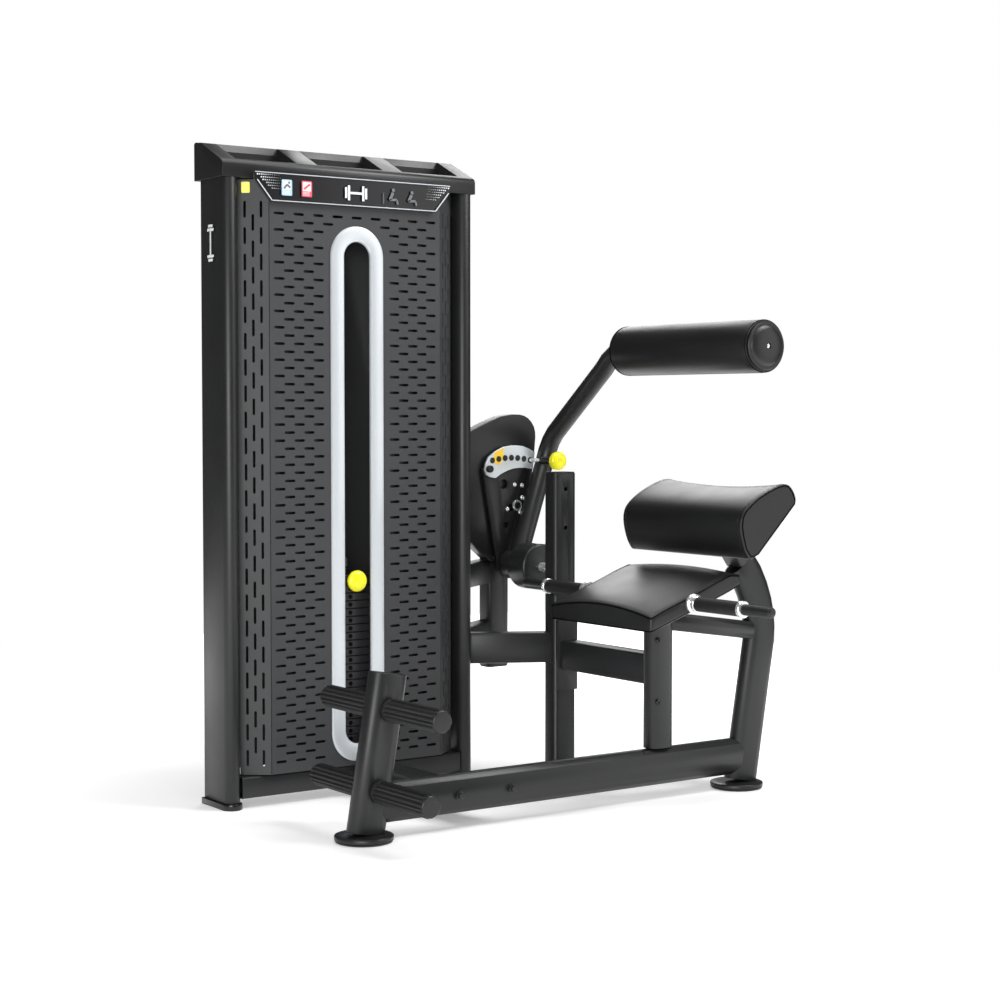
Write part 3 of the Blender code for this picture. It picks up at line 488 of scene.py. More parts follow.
def slot_trim():
    """The silver surround: a rounded raised face on a flat ring."""
    bm = bmesh.new()
    rings = []
    section = ((0.000, 0.0097), (0.000, 0.0045), (0.002, 0.0016), (0.006, 0.0003), (0.031, 0.0003),
               (0.035, 0.0016), (TRIM_WIDE, 0.0045), (TRIM_WIDE, 0.0097))
    for inset, depth in section:
        width = TRIM_OUTER[0] - 2 * inset
        share = inset / TRIM_WIDE
        low = TRIM_OUTER[1] + (TRIM_INNER[1] - TRIM_OUTER[1]) * share
        high = TRIM_OUTER[2] + (TRIM_INNER[2] - TRIM_OUTER[2]) * share
        outline = moved(stadium(width, high - low, 25), SLOT_X, (high + low) / 2)
        rings.append(ring(bm, at(0, FACE_Y - 0.010 + depth, 0), X, Z, outline))
    for low, high in zip(rings, rings[1:] + rings[:1]):
        skin(bm, low, high)
    piece("slot_surround", bm, "trim_silver", nodes=["slot_trim"], sharp=28)


def header():
    """The gloss panel under the cap: bright edges, a fade of dots and generic pictures."""
    bm = bmesh.new()
    outline = [(0.113, 1.438), (0.579, 1.438), (0.621, 1.488), (0.621, 1.5055), (0.070, 1.5055),
               (0.070, 1.488)]
    slab(bm, outline, X, Z, at(0, HEADER_FACE + 0.004, 0), -0.004)
    piece("header_plate", bm, "gloss_black", nodes=["header_panel"], bevel=0.0012)
    lines = bmesh.new()
    base = at(0, HEADER_FACE - 0.0002, 0)
    rim = [(0.575, 1.4415), (0.6135, 1.4875), (0.6155, 1.4855), (0.5765, 1.4390)]
    slab(lines, rim, X, Z, base, 0.0004)
    slab(lines, [(2 * HEADER_X - a, b) for a, b in rim][::-1], X, Z, base, 0.0004)
    for a, b, low in ((0.117, 0.575, 1.4390), (0.072, 0.619, 1.5032)):
        slab(lines, [(a, low), (b, low), (b, low + 0.0020), (a, low + 0.0020)], X, Z, base, 0.0004)
    piece("header_edge_lines", lines, "trim_silver")
    pictures(HEADER_FACE - 0.0003)


def trays():
    """Dark sheets on the floors and walls of the cap's three trays: painted shade in the recesses."""
    bm = bmesh.new()
    for low, high in ((0.042, 0.207), (0.264, 0.449), (0.506, 0.671)):
        slab(bm, rounded(low + 0.002, high - 0.002, 0.020, 0.114, 0.006), X, Y, at(0, 0, 1.5022), 0.0015)
        slab(bm, rounded(low + 0.004, high - 0.004, 1.5040, 1.5640, 0.003), X, Z, at(0, 0.1155, 0), 0.0012)
        for x in (low + 0.0004, high - 0.0016):
            side = [(0.020, 1.504), (0.114, 1.504), (0.114, 1.564), (0.020, 1.531)]
            slab(bm, side, Y, Z, at(x, 0, 0), 0.0012)
    piece("tray_painted_shade", bm, "cover_black")


def tower_marks():
    """A generic dumbbell on the tower's left side, and a yellow label on the left wing."""
    mark = bmesh.new()
    centre, base = 0.062, at(-0.0006, 0, 0)
    for z, half in ((1.300, 0.011), (1.309, 0.016), (1.371, 0.016), (1.380, 0.011)):
        disc = rounded(centre - half, centre + half, z - 0.0033, z + 0.0033, 0.0012, 2)
        slab(mark, disc, Y, Z, base, 0.0006)
    slab(mark, rounded(centre - 0.0028, centre + 0.0028, 1.312, 1.368, 0.0010, 2), Y, Z, base, 0.0006)
    piece("tower_side_mark", mark, "trim_silver", shown_as=paint("mark_white", (0.82, 0.83, 0.84)))
    label = bmesh.new()
    along = Vector((0.060, -0.044, 0)).normalized()
    slab(label, rounded(0.010, 0.030, 1.458, 1.484, 0.002, 2), along, Z, at(0.0541, 0.0305, 0), 0.0006)
    piece("wing_label", label, "knob_yellow")


def paint(name, colour):
    """A printed or painted mark's even colour."""
    return textured(name, colour, 0.35, 0.002, 0.00001, 0.05)


def pictures(front):
    """Printed marks of the builder's own: two cards, a dumbbell, two seated figures and a fade of dots."""
    colours = {"print_blue": (0.42, 0.62, 0.80), "print_red": (0.75, 0.10, 0.14),
               "print_grey": (0.16, 0.17, 0.18), "print_white": (0.80, 0.82, 0.84)}
    inks = {name: bmesh.new() for name in colours}
    base = at(0, front, 0)

    def disc(ink, x, z, r):
        slab(inks[ink], moved(arc((0, 0), r, 0, 345, 24), x, z), X, Z, base, PRINT_THICK)

    def bar(ink, start, end, width):
        a, b = Vector(start), Vector(end)
        along = (b - a).normalized()
        side = Vector((-along.y, along.x)) * width / 2
        shape = [tuple(a - side), tuple(b - side), tuple(b + side), tuple(a + side)]
        slab(inks[ink], shape, X, Z, base, PRINT_THICK)

    over = base - Y * 0.0002
    for ink, low in (("print_blue", 0.142), ("print_red", 0.196)):
        slab(inks[ink], rounded(low, low + 0.028, 1.4530, 1.4905, 0.003), X, Z, base, 0.0002)
        card = rounded(low + 0.003, low + 0.025, 1.4660, 1.4875, 0.002)
        slab(inks["print_white"], card, X, Z, over, 0.0002)
        for line in range(3):
            height = 1.4565 + 0.003 * line
            stroke = rounded(low + 0.003, low + 0.022, height, height + 0.0012, 0.0005, 2)
            slab(inks["print_white"], stroke, X, Z, over, 0.0002)
    base = base - Y * 0.0004
    bar("print_grey", (0.148, 1.469), (0.156, 1.479), 0.005)
    bar("print_grey", (0.156, 1.479), (0.165, 1.472), 0.005)
    disc("print_grey", 0.162, 1.4835, 0.0030)
    bar("print_red", (0.202, 1.471), (0.218, 1.483), 0.005)
    for x, half in ((0.318, 0.013), (0.326, 0.018), (0.366, 0.018), (0.374, 0.013)):
        bar("print_white", (x, 1.470 - half), (x, 1.470 + half), 0.0060)
    bar("print_white", (0.329, 1.470), (0.363, 1.470), 0.0055)
    for i, x in enumerate((0.452, 0.506)):
        disc("print_grey", x, 1.484 - 0.003 * i, 0.0042)
        bar("print_grey", (x - 0.001, 1.478 - 0.003 * i), (x - 0.010, 1.460), 0.0075)
        bar("print_grey", (x - 0.010, 1.460), (x + 0.010, 1.461), 0.0055)
        bar("print_grey", (x + 0.010, 1.461), (x + 0.013, 1.450), 0.0045)
    bar("print_grey", (0.424, 1.450), (0.424, 1.476), 0.0016)
    for way, corner in ((1, 0.078), (-1, 0.614)):
        for row in range(6):
            for column in range(11 - row):
                x = corner + way * (column * 0.0056 + row * 0.0072 + 0.0028 * (row % 2))
                z = 1.4990 - row * 0.0062
                if 0.075 < x < 0.617:
                    disc("print_white", x, z, 0.0019 * max(1 - column / 12 - row / 12, 0.25))
    for name, colour in colours.items():
        piece(name, inks[name], "gloss_black", shown_as=paint(name, colour))


# ---------------------------------------------------------------- upholstery

MAIN_Y = -0.461
SEAT_HALF = 0.195
# The seat's top along X: its place, then its height at the middle and at the sides.
SEAT_ROWS = [(0.751, 0.4890, 0.4690), (0.790, 0.5055, 0.4850), (0.850, 0.5235, 0.5055),
             (0.910, 0.5425, 0.5270), (0.960, 0.5595, 0.5465), (0.998, 0.5700, 0.5585),
             (1.029, 0.5655, 0.5555)]
SEAT_STEPS = 16
BACK_HALF = 0.222
BACK_CENTRE = (1.095, 0.688)
BACK_SIDE = [(1.055, 0.6005), (1.038, 0.5940), (1.030, 0.5945), (1.0145, 0.6150), (1.0045, 0.6480),
             (1.0005, 0.6720), (1.0030, 0.6930), (1.0130, 0.7095), (1.0330, 0.7255), (1.0580, 0.7420),
             (1.0920, 0.7575), (1.1220, 0.7685), (1.1420, 0.7720), (1.1580, 0.7690), (1.1715, 0.7555),
             (1.1815, 0.7350), (1.1795, 0.7243), (1.1490, 0.6938), (1.1175, 0.6627), (1.0860, 0.6314)]


def pad_floor(x):
    """The height of the seat's sloping underside."""
    return 0.4347 + 0.35 * (x - 0.762)


def soften(obj, width):
    """Rolls a pad's sharp edges over and smooths the whole."""
    edge = obj.modifiers.new("roll", "BEVEL")
    edge.width = width
    edge.segments = 4
    edge.limit_method = "ANGLE"
    edge.angle_limit = math.radians(38)
    smooth = obj.modifiers.new("smooth", "SUBSURF")
    smooth.levels = smooth.render_levels = 1
    obj.data.shade_smooth()


def welt(bm, path, radius):
    """Adds a piping along a closed path."""
    tube_path(bm, path + path[:2], radius, 6)


def stitches(bm, path, pitch=0.0065, length=0.0042):
    """Adds a row of thread dashes along a closed path."""
    for a, b in zip(path, path[1:] + path[:1]):
        span = b - a
        for i in range(int(span.length / pitch)):
            start = a + span.normalized() * (pitch * (i + 0.2))
            tube_path(bm, [start, start + span.normalized() * length], 0.00045, 4)


def seat_top(x, across):
    """The seat's height at a place along it and across it, from -1 to 1."""
    for (x0, m0, s0), (x1, m1, s1) in zip(SEAT_ROWS, SEAT_ROWS[1:]):
        if x <= x1 or x1 == SEAT_ROWS[-1][0]:
            share = (x - x0) / (x1 - x0)
            middle, side = m0 + (m1 - m0) * share, s0 + (s1 - s0) * share
            return middle + (side - middle) * across * across


def seat_pad():
    """The seat: a crowned top panel, side panels and a flat underside, sewn with piping."""
    bm = bmesh.new()
    rows = []
    ends = (SEAT_ROWS[0][0], SEAT_ROWS[-1][0])
    for x, _, _ in SEAT_ROWS:
        bottom = pad_floor(x) + (0.004 if x in ends else 0)
        tops, bottoms = [], []
        for i in range(SEAT_STEPS + 1):
            across = -1 + 2 * i / SEAT_STEPS
            tops.append(bm.verts.new(at(x, MAIN_Y + SEAT_HALF * across, seat_top(x, across))))
            bottoms.append(bm.verts.new(at(x, MAIN_Y + SEAT_HALF * across, bottom)))
        rows.append((tops, bottoms))
    for (tops, bottoms), (next_tops, next_bottoms) in zip(rows, rows[1:]):
        for i in range(SEAT_STEPS):
            bm.faces.new((tops[i], tops[i + 1], next_tops[i + 1], next_tops[i]))
            bm.faces.new((bottoms[i], next_bottoms[i], next_bottoms[i + 1], bottoms[i + 1]))
        for i in (0, SEAT_STEPS):
            bm.faces.new((tops[i], next_tops[i], next_bottoms[i], bottoms[i]))
    for tops, bottoms in (rows[0], rows[-1]):
        for i in range(SEAT_STEPS):
            bm.faces.new((tops[i], tops[i + 1], bottoms[i + 1], bottoms[i]))
    pad = piece("seat_cushion", bm, "pad_leather", nodes=["seat_pad"])
    soften(pad, 0.008)
    sew = bmesh.new()
    thread = bmesh.new()
    welt(sew, seat_loop(0.0022, lambda x, across: seat_top(x, across) - 0.0026), 0.0021)
    stitches(thread, seat_loop(0.0130, lambda x, across: seat_top(x, across) - 0.0002))
    welt(sew, seat_loop(0.0018, lambda x, across: pad_floor(x) + 0.0060), 0.0017)
    piece("seat_piping", sew, "seam_black")
    piece("seat_stitching", thread, "cable_black")


def seat_loop(inset, height):
    """A closed path round the seat's edge, inset from it, at a given height over each place."""
    front, rear = SEAT_ROWS[0][0] + inset, SEAT_ROWS[-1][0] - inset
    half = SEAT_HALF - inset
    outline = rounded(front, rear, -half, half, 0.007)
    dense = []
    for (a, b), (c, d) in zip(outline, outline[1:] + outline[:1]):
        count = max(int(math.hypot(c - a, d - b) / 0.02), 1)
        dense += [(a + (c - a) * i / count, b + (d - b) * i / count) for i in range(count)]
    return [at(x, MAIN_Y + y, height(x, y / SEAT_HALF)) for x, y in dense]


def back_ring(across, grow=1.0, shift=0.0):
    """The bolster's outline at a place across its width, its top edge waisted at the middle."""
    waist = 0.012 * (1 - across * across)
    mid_x, mid_z = BACK_CENTRE
    ring_points = []
    for x, z in BACK_SIDE:
        z -= waist * max(z - 0.735, 0) / 0.035
        x, z = mid_x + (x - mid_x) * grow, mid_z + (z - mid_z) * grow
        ring_points.append(at(x, MAIN_Y + BACK_HALF * across + shift, z))
    return ring_points


def back_pad():
    """The bolster: a wrapped panel and two sewn end panels."""
    bm = bmesh.new()
    rings = [[bm.verts.new(p) for p in back_ring(-1 + i / 8)] for i in range(17)]
    for low, high in zip(rings, rings[1:]):
        skin(bm, low, high)
    for ring_verts, way in ((rings[0], -1), (rings[-1], 1)):
        outer = ring_verts
        for grow, bulge in ((0.88, 0.0000), (0.60, 0.0006)):
            inner = [bm.verts.new(p) for p in back_ring(way, grow, way * bulge)]
            skin(bm, outer, inner)
            outer = inner
        bm.faces.new(outer)
    pad = piece("back_cushion", bm, "pad_leather", nodes=["back_pad"])
    soften(pad, 0.0065)
    sew = bmesh.new()
    thread = bmesh.new()
    for way in (-1, 1):
        welt(sew, back_ring(way, 0.930, -way * 0.0002), 0.0019)
        stitches(thread, back_ring(way * 0.945, 0.9995))
    piece("back_piping", sew, "seam_black")
    piece("back_stitching", thread, "cable_black")


ROLLER_X, ROLLER_Z = 1.039, 1.097
ROLLER_NEAR, ROLLER_FAR = -0.736, -0.204
# The sleeve's radius along its length, from 0 at the near end to 1 at the far end.
SLEEVE = ((0, 0.0570), (0.001, 0.0598), (0.006, 0.0612), (0.014, 0.0619), (0.05, 0.0622), (0.2, 0.0624),
          (0.5, 0.0625), (0.8, 0.0624), (0.95, 0.0622), (0.975, 0.0612), (0.990, 0.0590),
          (0.998, 0.0545), (1.0, 0.0480))
SLEEVE_BORE = 0.0135


def roller():
    """The arm's roller: a sewn sleeve with a rolled far end, an end cap with a ring and a bolt.

    Only the sleeve and its seams spin. The cap and the fittings stay with the arm.
    """
    start = at(ROLLER_X, 0, ROLLER_Z)
    low, high = ROLLER_NEAR + 0.0140, ROLLER_FAR
    outside = [(low + (high - low) * share, r) for share, r in SLEEVE]
    profile = [(low, SLEEVE_BORE)] + outside + [(high, SLEEVE_BORE)]
    sleeve = piece("roller_cushion", turned(profile, start, Y, 64, closed=True), "pad_leather", body="roller",
                   nodes=["roller_pad"], sharp=50)
    seams = bmesh.new()
    for along in (low + 0.0030, high - 0.0100):
        angles = [2 * math.pi * i / 48 for i in range(48)]
        circle = [start + Y * along + (X * math.cos(a) + Z * math.sin(a)) * 0.0614 for a in angles]
        welt(seams, circle, 0.0011)
    below = start - Z * 0.0620
    tube_path(seams, [below + Y * (low + 0.006), below + Y * (high - 0.012)], 0.0010, 6)
    piece("roller_seams", seams, "seam_black", body="roller")
    cap = [(0, 0.0135), (0, 0.0545), (0.0012, 0.0562), (0.0035, 0.0565), (0.0052, 0.0552), (0.0058, 0.0515),
           (0.0050, 0.0500), (0.0050, 0.0482), (0.0072, 0.0462), (0.0100, 0.0380), (0.0118, 0.0250),
           (0.0124, 0.0110), (0.0124, 0.0078), (0.0100, 0.0070), (0.0100, 0.0020)]
    near = start + Y * (ROLLER_NEAR + 0.0136)
    piece("roller_end_cap", turned(cap, near, -Y, 64), "cover_black", body="arm", sharp=40)
    bolt = bmesh.new()
    lathe(bolt, [(0, 0.0055), (0.0014, 0.0052), (0.0022, 0.0036), (0.0022, 0.0024)], near - Y * 0.0098, -Y, 6)
    collar = [(-0.0066, 0.0239), (-0.0008, 0.0239), (0, 0.0230), (0, 0.0128)]
    lathe(bolt, collar, at(ROLLER_X, ROLLER_FAR, ROLLER_Z), -Y, 40)
    piece("roller_fittings", bolt, "chrome", body="arm", nodes=["roller_axle"])


# ---------------------------------------------------------------- foot rollers and handles

RIB_DEEP = 0.0036


def fluted(bm, start, direction, length, radius, ribs):
    """Adds a ribbed rubber sleeve with plain ends."""
    first, second = across(direction)
    wave = (0.0, 0.55, 1.0, 1.0, 0.55, 0.0)
    count = ribs * len(wave)
    rings = []
    for along, size, depth in ((0, 0.86, 0), (0.001, 0.94, 0), (0.005, 0.95, 0), (0.0055, 0.90, 0),
                               (0.0085, 0.90, 0), (0.0095, 0.985, 0.4), (0.012, 1.0, 1.0),
                               (length - 0.006, 1.0, 1.0), (length - 0.003, 0.985, 0.5), (length, 0.93, 0.2)):
        circle = []
        for i in range(count):
            a = 2 * math.pi * i / count
            r = radius * size - RIB_DEEP * depth * (1 - wave[i % len(wave)])
            circle.append((r * math.cos(a), r * math.sin(a)))
        rings.append(ring(bm, start + direction * along, first, second, circle))
    for low, high in zip(rings, rings[1:]):
        skin(bm, low, high)
    bm.faces.new(rings[0])
    bm.faces.new(rings[-1])


def foot_rollers():
    """Four ribbed sleeves on the front tube's pegs, each with an end cap."""
    for level, x, z in (("upper", 0.150, 0.290), ("lower", 0.1215, 0.112)):
        for side, way in (("near", -Y), ("far", Y)):
            bm = bmesh.new()
            fluted(bm, at(x, MAIN_Y, z) + way * 0.0305, way, 0.2045, 0.0262, 16)
            piece(f"ribbed_roller_{level}_{side}", bm, "rubber_black", nodes=[f"foot_roller_{level}_{side}"],
                  sharp=24)
            cap = [(0, 0.0236), (0.0016, 0.0236), (0.0028, 0.0224), (0.0032, 0.0180), (0.0032, 0.0050)]
            piece(f"ribbed_roller_cap_{level}_{side}", turned(cap, at(x, MAIN_Y, z) + way * 0.2345, way, 36),
                  "cover_black", sharp=30)


def handles():
    """Each side: a bright collar, a ribbed grip, a second collar and the bar's dark rounded end."""
    centre = at(0.876, MAIN_Y, 0.497)
    for side, way in (("near", -Y), ("far", Y)):
        bright = bmesh.new()
        inner = [(0.1952, 0.0134), (0.1954, 0.0190), (0.1966, 0.0222), (0.1990, 0.0230), (0.2040, 0.0230),
                 (0.2070, 0.0205), (0.2085, 0.0185), (0.2160, 0.0185), (0.2172, 0.0172), (0.2172, 0.0140)]
        lathe(bright, inner, centre, way, 40)
        outer = [(0.3640, 0.0140), (0.3642, 0.0180), (0.3655, 0.0197), (0.3725, 0.0197), (0.3745, 0.0182),
                 (0.3757, 0.0150), (0.3757, 0.0134)]
        lathe(bright, outer, centre, way, 40)
        piece(f"handle_collars_{side}", bright, "chrome", nodes=[f"handle_bar_{side}"], sharp=30)
        dark = bmesh.new()
        lathe(dark, [(0.1750, 0.0120), (0.1750, 0.0131), (0.4600, 0.0131), (0.4645, 0.0119), (0.4665, 0.0090),
                     (0.4670, 0.0040)], centre, way, 32)
        piece(f"handle_tube_{side}", dark, "frame_paint", sharp=30)
        grip = bmesh.new()
        profile = [(0.2173, 0.0136), (0.2173, 0.0160), (0.2185, 0.0170)]
        along = 0.2210
        while along < 0.3580:
            profile += [(along, 0.0172), (along + 0.0020, 0.0165), (along + 0.0040, 0.0172)]
            along += 0.0060
        profile += [(0.3625, 0.0170), (0.3638, 0.0160), (0.3638, 0.0136)]
        lathe(grip, profile, centre, way, 32)
        piece(f"foam_grip_{side}", grip, "rubber_black", nodes=[f"handle_grip_{side}"], sharp=50)


# ---------------------------------------------------------------- weight stack and knobs

STACK_X, STACK_Y, STACK_FRONT = 0.354, 0.063, 0.021
STACK_LOW, PLATE_HIGH, PLATES = 0.128, 0.0195, 20
HEAD_LOW, HEAD_HIGH = 0.5185, 0.5420
GUIDE_X = (0.219, 0.489)


def weight_plate(bm, low, high):
    """Adds one plate of the stack, its long edges eased."""
    reach, half = 0.165, 0.042
    rings = []
    for z, ease in ((low, 0.0016), (low + 0.0016, 0), (high - 0.0016, 0), (high, 0.0016)):
        outline = rounded(-reach + ease, reach - ease, -half + ease, half - ease, 0.006, 3)
        rings.append(ring(bm, at(STACK_X, STACK_Y, z), X, Y, outline))
    for one, other in zip(rings, rings[1:]):
        skin(bm, one, other)
    bm.faces.new(rings[0])
    bm.faces.new(rings[-1])


def pin_hole(bm, dark, z):
    """Adds a plate's bushed hole for the selector pin."""
    face = at(STACK_X, STACK_FRONT, z)
    lathe(bm, [(-0.001, 0.0074), (0.0006, 0.0074), (0.0009, 0.0068), (0.0009, 0.0057)], face, -Y, 20)
    lathe(dark, [(0.0000, 0.0056), (0.0011, 0.0056)], face, -Y, 16)


def stack():
    """The resting plates with their pin holes, the lifted head plate and the two buffers under them."""
    plates, bushes, dark = bmesh.new(), bmesh.new(), bmesh.new()
    for i in range(PLATES):
        low = STACK_LOW + PLATE_HIGH * i
        weight_plate(plates, low + 0.0003, low + PLATE_HIGH - 0.0009)
        pin_hole(bushes, dark, low + PLATE_HIGH / 2)
    piece("stack_plates", plates, "stack_steel", nodes=["weight_stack"], sharp=30)
    piece("stack_bushes", bushes, "stack_steel")
    piece("stack_hole_shade", dark, "seam_black")
    head = bmesh.new()
    weight_plate(head, HEAD_LOW, HEAD_HIGH)
    lathe(head, [(0, 0.0185), (0.012, 0.0185), (0.014, 0.0165)], at(STACK_X, STACK_Y, HEAD_HIGH), Z, 32)
    piece("stack_head_plate", head, "stack_steel", body="lifted_stack", nodes=["top_plate"], sharp=30)
    collars = bmesh.new()
    for x in GUIDE_X:
        lathe(collars, [(0, 0.0170), (0.006, 0.0170), (0.008, 0.0150)], at(x, STACK_Y, HEAD_HIGH), Z, 32)
    piece("stack_head_collars", collars, "cover_black", body="lifted_stack")
    buffers = bmesh.new()
    buffer = [(0, 0.021), (0.020, 0.021), (0.0235, 0.0175), (0.0440, 0.0175)]
    for x in GUIDE_X:
        lathe(buffers, buffer, at(x, STACK_Y, 0.0830), Z, 32)
    piece("stack_buffers", buffers, "rubber_black")


def knobs():
    """The selector pin and the arm's pop pin: thin yellow knobs on steel shanks."""
    spot = at(STACK_X, 0.034, 0.530)
    shaft = [(0.0005, 0.0038), (0.0010, 0.0045), (0.0290, 0.0045), (0.0292, 0.0085), (0.0340, 0.0085),
             (0.0345, 0.0060), (0.0385, 0.0060)]
    piece("selector_shaft", turned(shaft, spot, -Y, 28), "chrome", body="selector_pin",
          nodes=["selector_pin"])
    disc = [(0.0375, 0.0090), (0.0380, 0.0200), (0.0400, 0.0235), (0.0425, 0.0256), (0.0450, 0.0264),
            (0.0480, 0.0262), (0.0510, 0.0248), (0.0545, 0.0215), (0.0572, 0.0150), (0.0584, 0.0080),
            (0.0588, 0.0020)]
    piece("selector_knob", turned(disc, spot, -Y, 48), "knob_yellow", body="selector_pin", sharp=50)
    spot = at(1.0141, 0, 0.8117)
    tip = [(0.0668, 0.0064), (0.0800, 0.0064), (0.0801, 0.0054), (0.1745, 0.0054), (0.1760, 0.0042)]
    piece("pop_pin_shaft", turned(tip, spot, Y, 28), "chrome", body="pop_pin", nodes=["pop_pin"])
    barrel = [(0.0802, 0.0080), (0.0806, 0.0092), (0.0830, 0.0100), (0.1218, 0.0100), (0.1230, 0.0088)]
    piece("pop_pin_barrel", turned(barrel, spot, Y, 28), "cover_black", body="pop_pin")
    knob = [(0.0670, 0.0070), (0.0664, 0.0120), (0.0640, 0.0180), (0.0612, 0.0222), (0.0580, 0.0243),
            (0.0545, 0.0250), (0.0500, 0.0250), (0.0465, 0.0243), (0.0435, 0.0222), (0.0414, 0.0170),
            (0.0405, 0.0100), (0.0405, 0.0070), (0.0412, 0.0062)]
    piece("pop_pin_knob", turned(knob, spot, Y, 48), "knob_yellow", body="pop_pin", sharp=50)


def lift_cable():
    """The stack's straight cable, from the selector rod's top to below the top pulley."""
    bm = bmesh.new()
    low, high = 0.6086, 1.4168
    lathe(bm, [(0, 0.0026), (high - low, 0.0026)], at(STACK_X, STACK_Y, low), Z, 14)
    rope = piece("stack_rope", bm, "cable_black", body="frame", nodes=["lift_cable"])
    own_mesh(rope)


# ---------------------------------------------------------------- start plate, floor discs and fixings

PIVOT = (0.950, 0.534)
HOLES, HOLE_REACH, HOLE_FIRST, HOLE_STEP = 7, 0.285, 77, 4.2
PLATE_NEAR, PLATE_FAR = 0.1767, 0.1825
SECTOR_FACE = 0.1830
BEAD_R = 0.0018
RING_SPOT = (0.975, 0.690)
POST_X = 0.950


def start_plate():
    """The bright plate of start holes: the ringed holes, a painted band and a rubber stop."""
    outline = [(1.0300, 0.8330), (1.0100, 0.8430), (0.9900, 0.8500), (0.9700, 0.8520), (0.9530, 0.8520),
               (0.9260, 0.8480), (0.9000, 0.8370), (0.8776, 0.8217), (0.8680, 0.8040), (0.8646, 0.7875),
               (0.8700, 0.7750), (0.8830, 0.7680), (0.9004, 0.7654), (0.9180, 0.7760), (0.9400, 0.7850),
               (0.9600, 0.7900), (0.9800, 0.7915), (1.0000, 0.7910), (1.0240, 0.7880)]
    centres = []
    for i in range(HOLES):
        a = math.radians(HOLE_FIRST + HOLE_STEP * i)
        centres.append((PIVOT[0] + HOLE_REACH * math.cos(a), PIVOT[1] + HOLE_REACH * math.sin(a)))
    holes = [moved(arc((0, 0), 0.0065, 0, 345, 24), x, z) for x, z in centres]
    bm = bmesh.new()
    punched(bm, outline, holes, at(0, PLATE_FAR, 0), X, Z, PLATE_FAR - PLATE_NEAR)
    piece("start_hole_plate", bm, "trim_silver", body="cam", nodes=["rom_plate"], sharp=30, bevel=0.0005)
    rings = bmesh.new()
    for x, z in centres:
        lathe(rings, [(0, 0.0082), (0.0007, 0.0080), (0.0007, 0.0066)], at(x, 0.1768, z), -Y, 24)
    piece("start_hole_rings", rings, "cover_black", body="cam")
    band = bmesh.new()
    shape = [(0.8970, 0.8050), (0.9120, 0.8000), (0.9240, 0.8150), (0.9260, 0.8455), (0.9050, 0.8375),
             (0.8940, 0.8300)]
    slab(band, shape, X, Z, at(0, PLATE_NEAR, 0), PRINT_THICK)
    orange = paint("band_orange", (0.95, 0.62, 0.03))
    piece("start_plate_band", band, "trim_silver", body="cam", shown_as=orange)
    stop = [(0, 0.0095), (0.0080, 0.0095), (0.0095, 0.0080), (0.0095, 0.0040)]
    piece("start_plate_stop", turned(stop, at(0.8790, 0.1766, 0.7900), -Y, 28), "rubber_black", body="cam")


def hex_bolt(bm, place, direction, size=0.0075):
    """Adds a bolt head on its washer."""
    washer = [(0, size * 1.45), (0.0012, size * 1.45), (0.0016, size * 1.3)]
    lathe(bm, washer, place, direction, 20)
    head = [(0.0014, size), (0.0014 + size * 0.65, size), (0.0014 + size * 0.8, size * 0.8)]
    lathe(bm, head, place, direction, 6)


def button_bolt(bm, place, direction, size=0.0070):
    """Adds a round-headed socket bolt."""
    profile = [(0, size), (size * 0.25, size * 0.97), (size * 0.5, size * 0.80), (size * 0.62, size * 0.5),
               (size * 0.62, size * 0.42), (size * 0.30, size * 0.38)]
    lathe(bm, profile, place, direction, 20)


def feet():
    """The two floor discs: a rubber tread under a painted plate."""
    for end in ("front", "rear"):
        spot = middle(f"{end}_foot")
        spot.z = 0
        tread = [(0.0001, 0.0590), (0.0012, 0.0630), (0.0050, 0.0652), (0.0056, 0.0640)]
        piece(f"{end}_tread", turned(tread, spot, Z, 56), "rubber_black", sharp=50)
        plate = [(0.0056, 0.0625), (0.0064, 0.0655), (0.0135, 0.0660), (0.0152, 0.0650), (0.0160, 0.0630),
                 (0.0161, 0.0450)]
        piece(f"{end}_disc", turned(plate, spot, Z, 56), "frame_paint", nodes=[f"{end}_foot"], sharp=40)


def weld_bead(bm, start, end):
    """Adds a weld's rippled bead between two points."""
    count = max(int((end - start).length / 0.0035), 1)
    ripple = [(-0.0021, BEAD_R * 0.75), (0, BEAD_R), (0.0021, BEAD_R * 0.75)]
    for i in range(count):
        lathe(bm, ripple, start + (end - start) * ((i + 0.5) / count), end - start, 7)


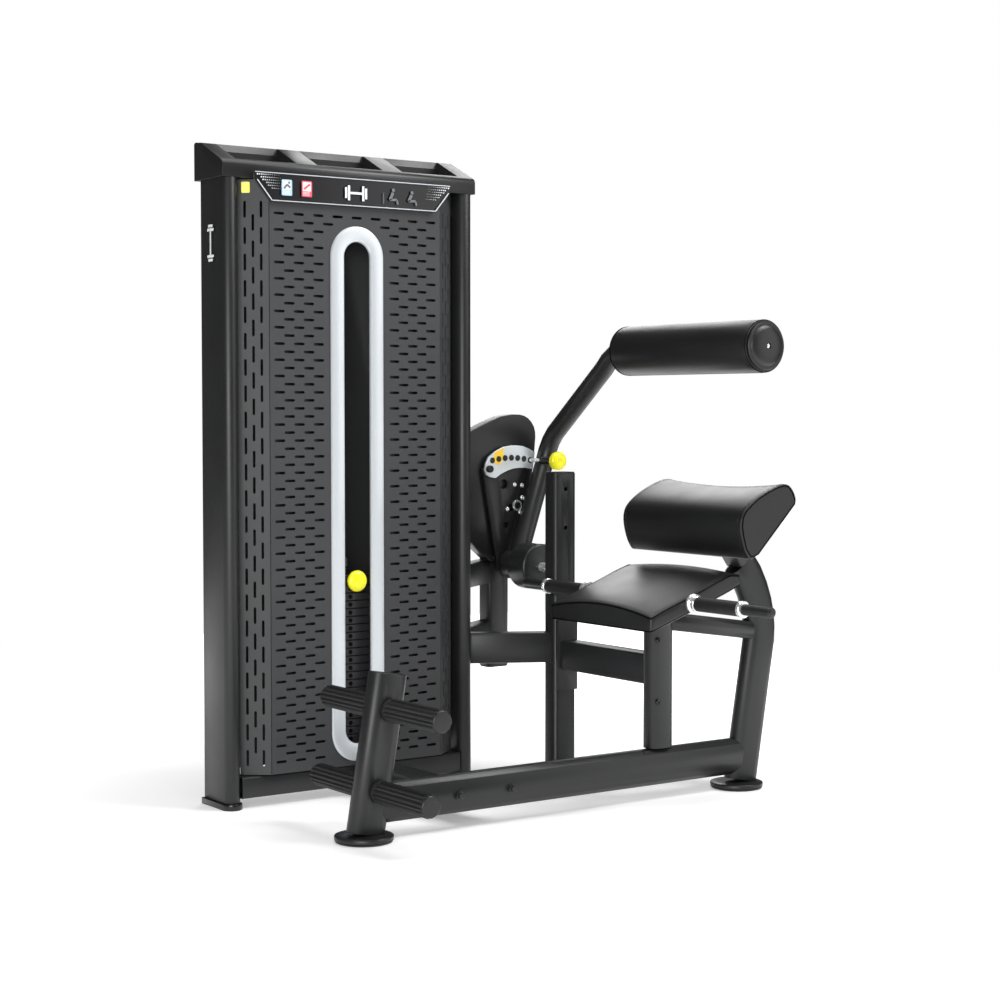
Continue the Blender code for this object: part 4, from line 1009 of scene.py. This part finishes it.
def plugs_and_welds():
    """End plugs in the open tubes, and weld beads where the beams meet the posts."""
    plugs = bmesh.new()
    for x, y, z, way in ((0.935, -0.064, 0.785, 1), (POST_X, 0.257, 0.604, 1), (POST_X, 0.257, 0.252, -1)):
        high = z + way * 0.0030
        low, high = min(z, high), max(z, high)
        outline = rounded(x - 0.0335, x + 0.0335, y - 0.0235, y + 0.0235, 0.0110)
        slab(plugs, outline, X, Y, at(0, 0, low), high - low)
    piece("tube_plugs", plugs, "rubber_black", bevel=0.0010)
    beads = bmesh.new()
    for z in (0.3005, 0.3745, 0.4785, 0.5405):
        weld_bead(beads, at(POST_X - 0.0350, 0.257 - 0.018, z), at(POST_X - 0.0350, 0.257 + 0.014, z))
    for z in (0.2965, 0.3735):
        weld_bead(beads, at(0.9000, -0.080, z), at(0.9000, -0.046, z))
    for x in (0.8795, 0.9485):
        weld_bead(beads, at(x, MAIN_Y - 0.020, 0.1205), at(x, MAIN_Y + 0.020, 0.1205))
    piece("weld_beads", beads, "frame_paint", sharp=80)


def fixings():
    """The frame's bolts, and the bolts and bright ring on the sector plate."""
    bolts = bmesh.new()
    for x in (0.332, 0.478):
        hex_bolt(bolts, at(x, -0.4950, 0.080), -Y)
    for z in (0.391, 0.241):
        button_bolt(bolts, at(0.914, MAIN_Y - 0.0252, z), -Y)
    for z in (0.387, 0.243):
        hex_bolt(bolts, at(0.956, -0.0892, z), -Y)
    piece("frame_bolts", bolts, "cover_black")
    moving = bmesh.new()
    for x, z in ((0.991, 0.744), (0.967, 0.746), (0.992, 0.711), (0.985, 0.671), (0.943, 0.681)):
        button_bolt(moving, at(x, SECTOR_FACE, z), -Y, 0.0062)
    spot = at(RING_SPOT[0], SECTOR_FACE, RING_SPOT[1])
    lathe(moving, [(0, 0.0150), (0.0016, 0.0150), (0.0022, 0.0138), (0.0022, 0.0095)], spot, -Y, 32)
    piece("sector_bolts", moving, "chrome", body="cam")
    hub = turned([(0.0010, 0.0092), (0.0034, 0.0092), (0.0040, 0.0080)], spot, -Y, 32)
    piece("sector_hub", hub, "cover_black", body="cam")


def main():
    finish_nodes()
    camera()
    stage()
    front_shroud()
    slot_trim()
    header()
    trays()
    tower_marks()
    seat_pad()
    back_pad()
    roller()
    foot_rollers()
    handles()
    stack()
    knobs()
    lift_cable()
    start_plate()
    feet()
    plugs_and_welds()
    fixings()


main()
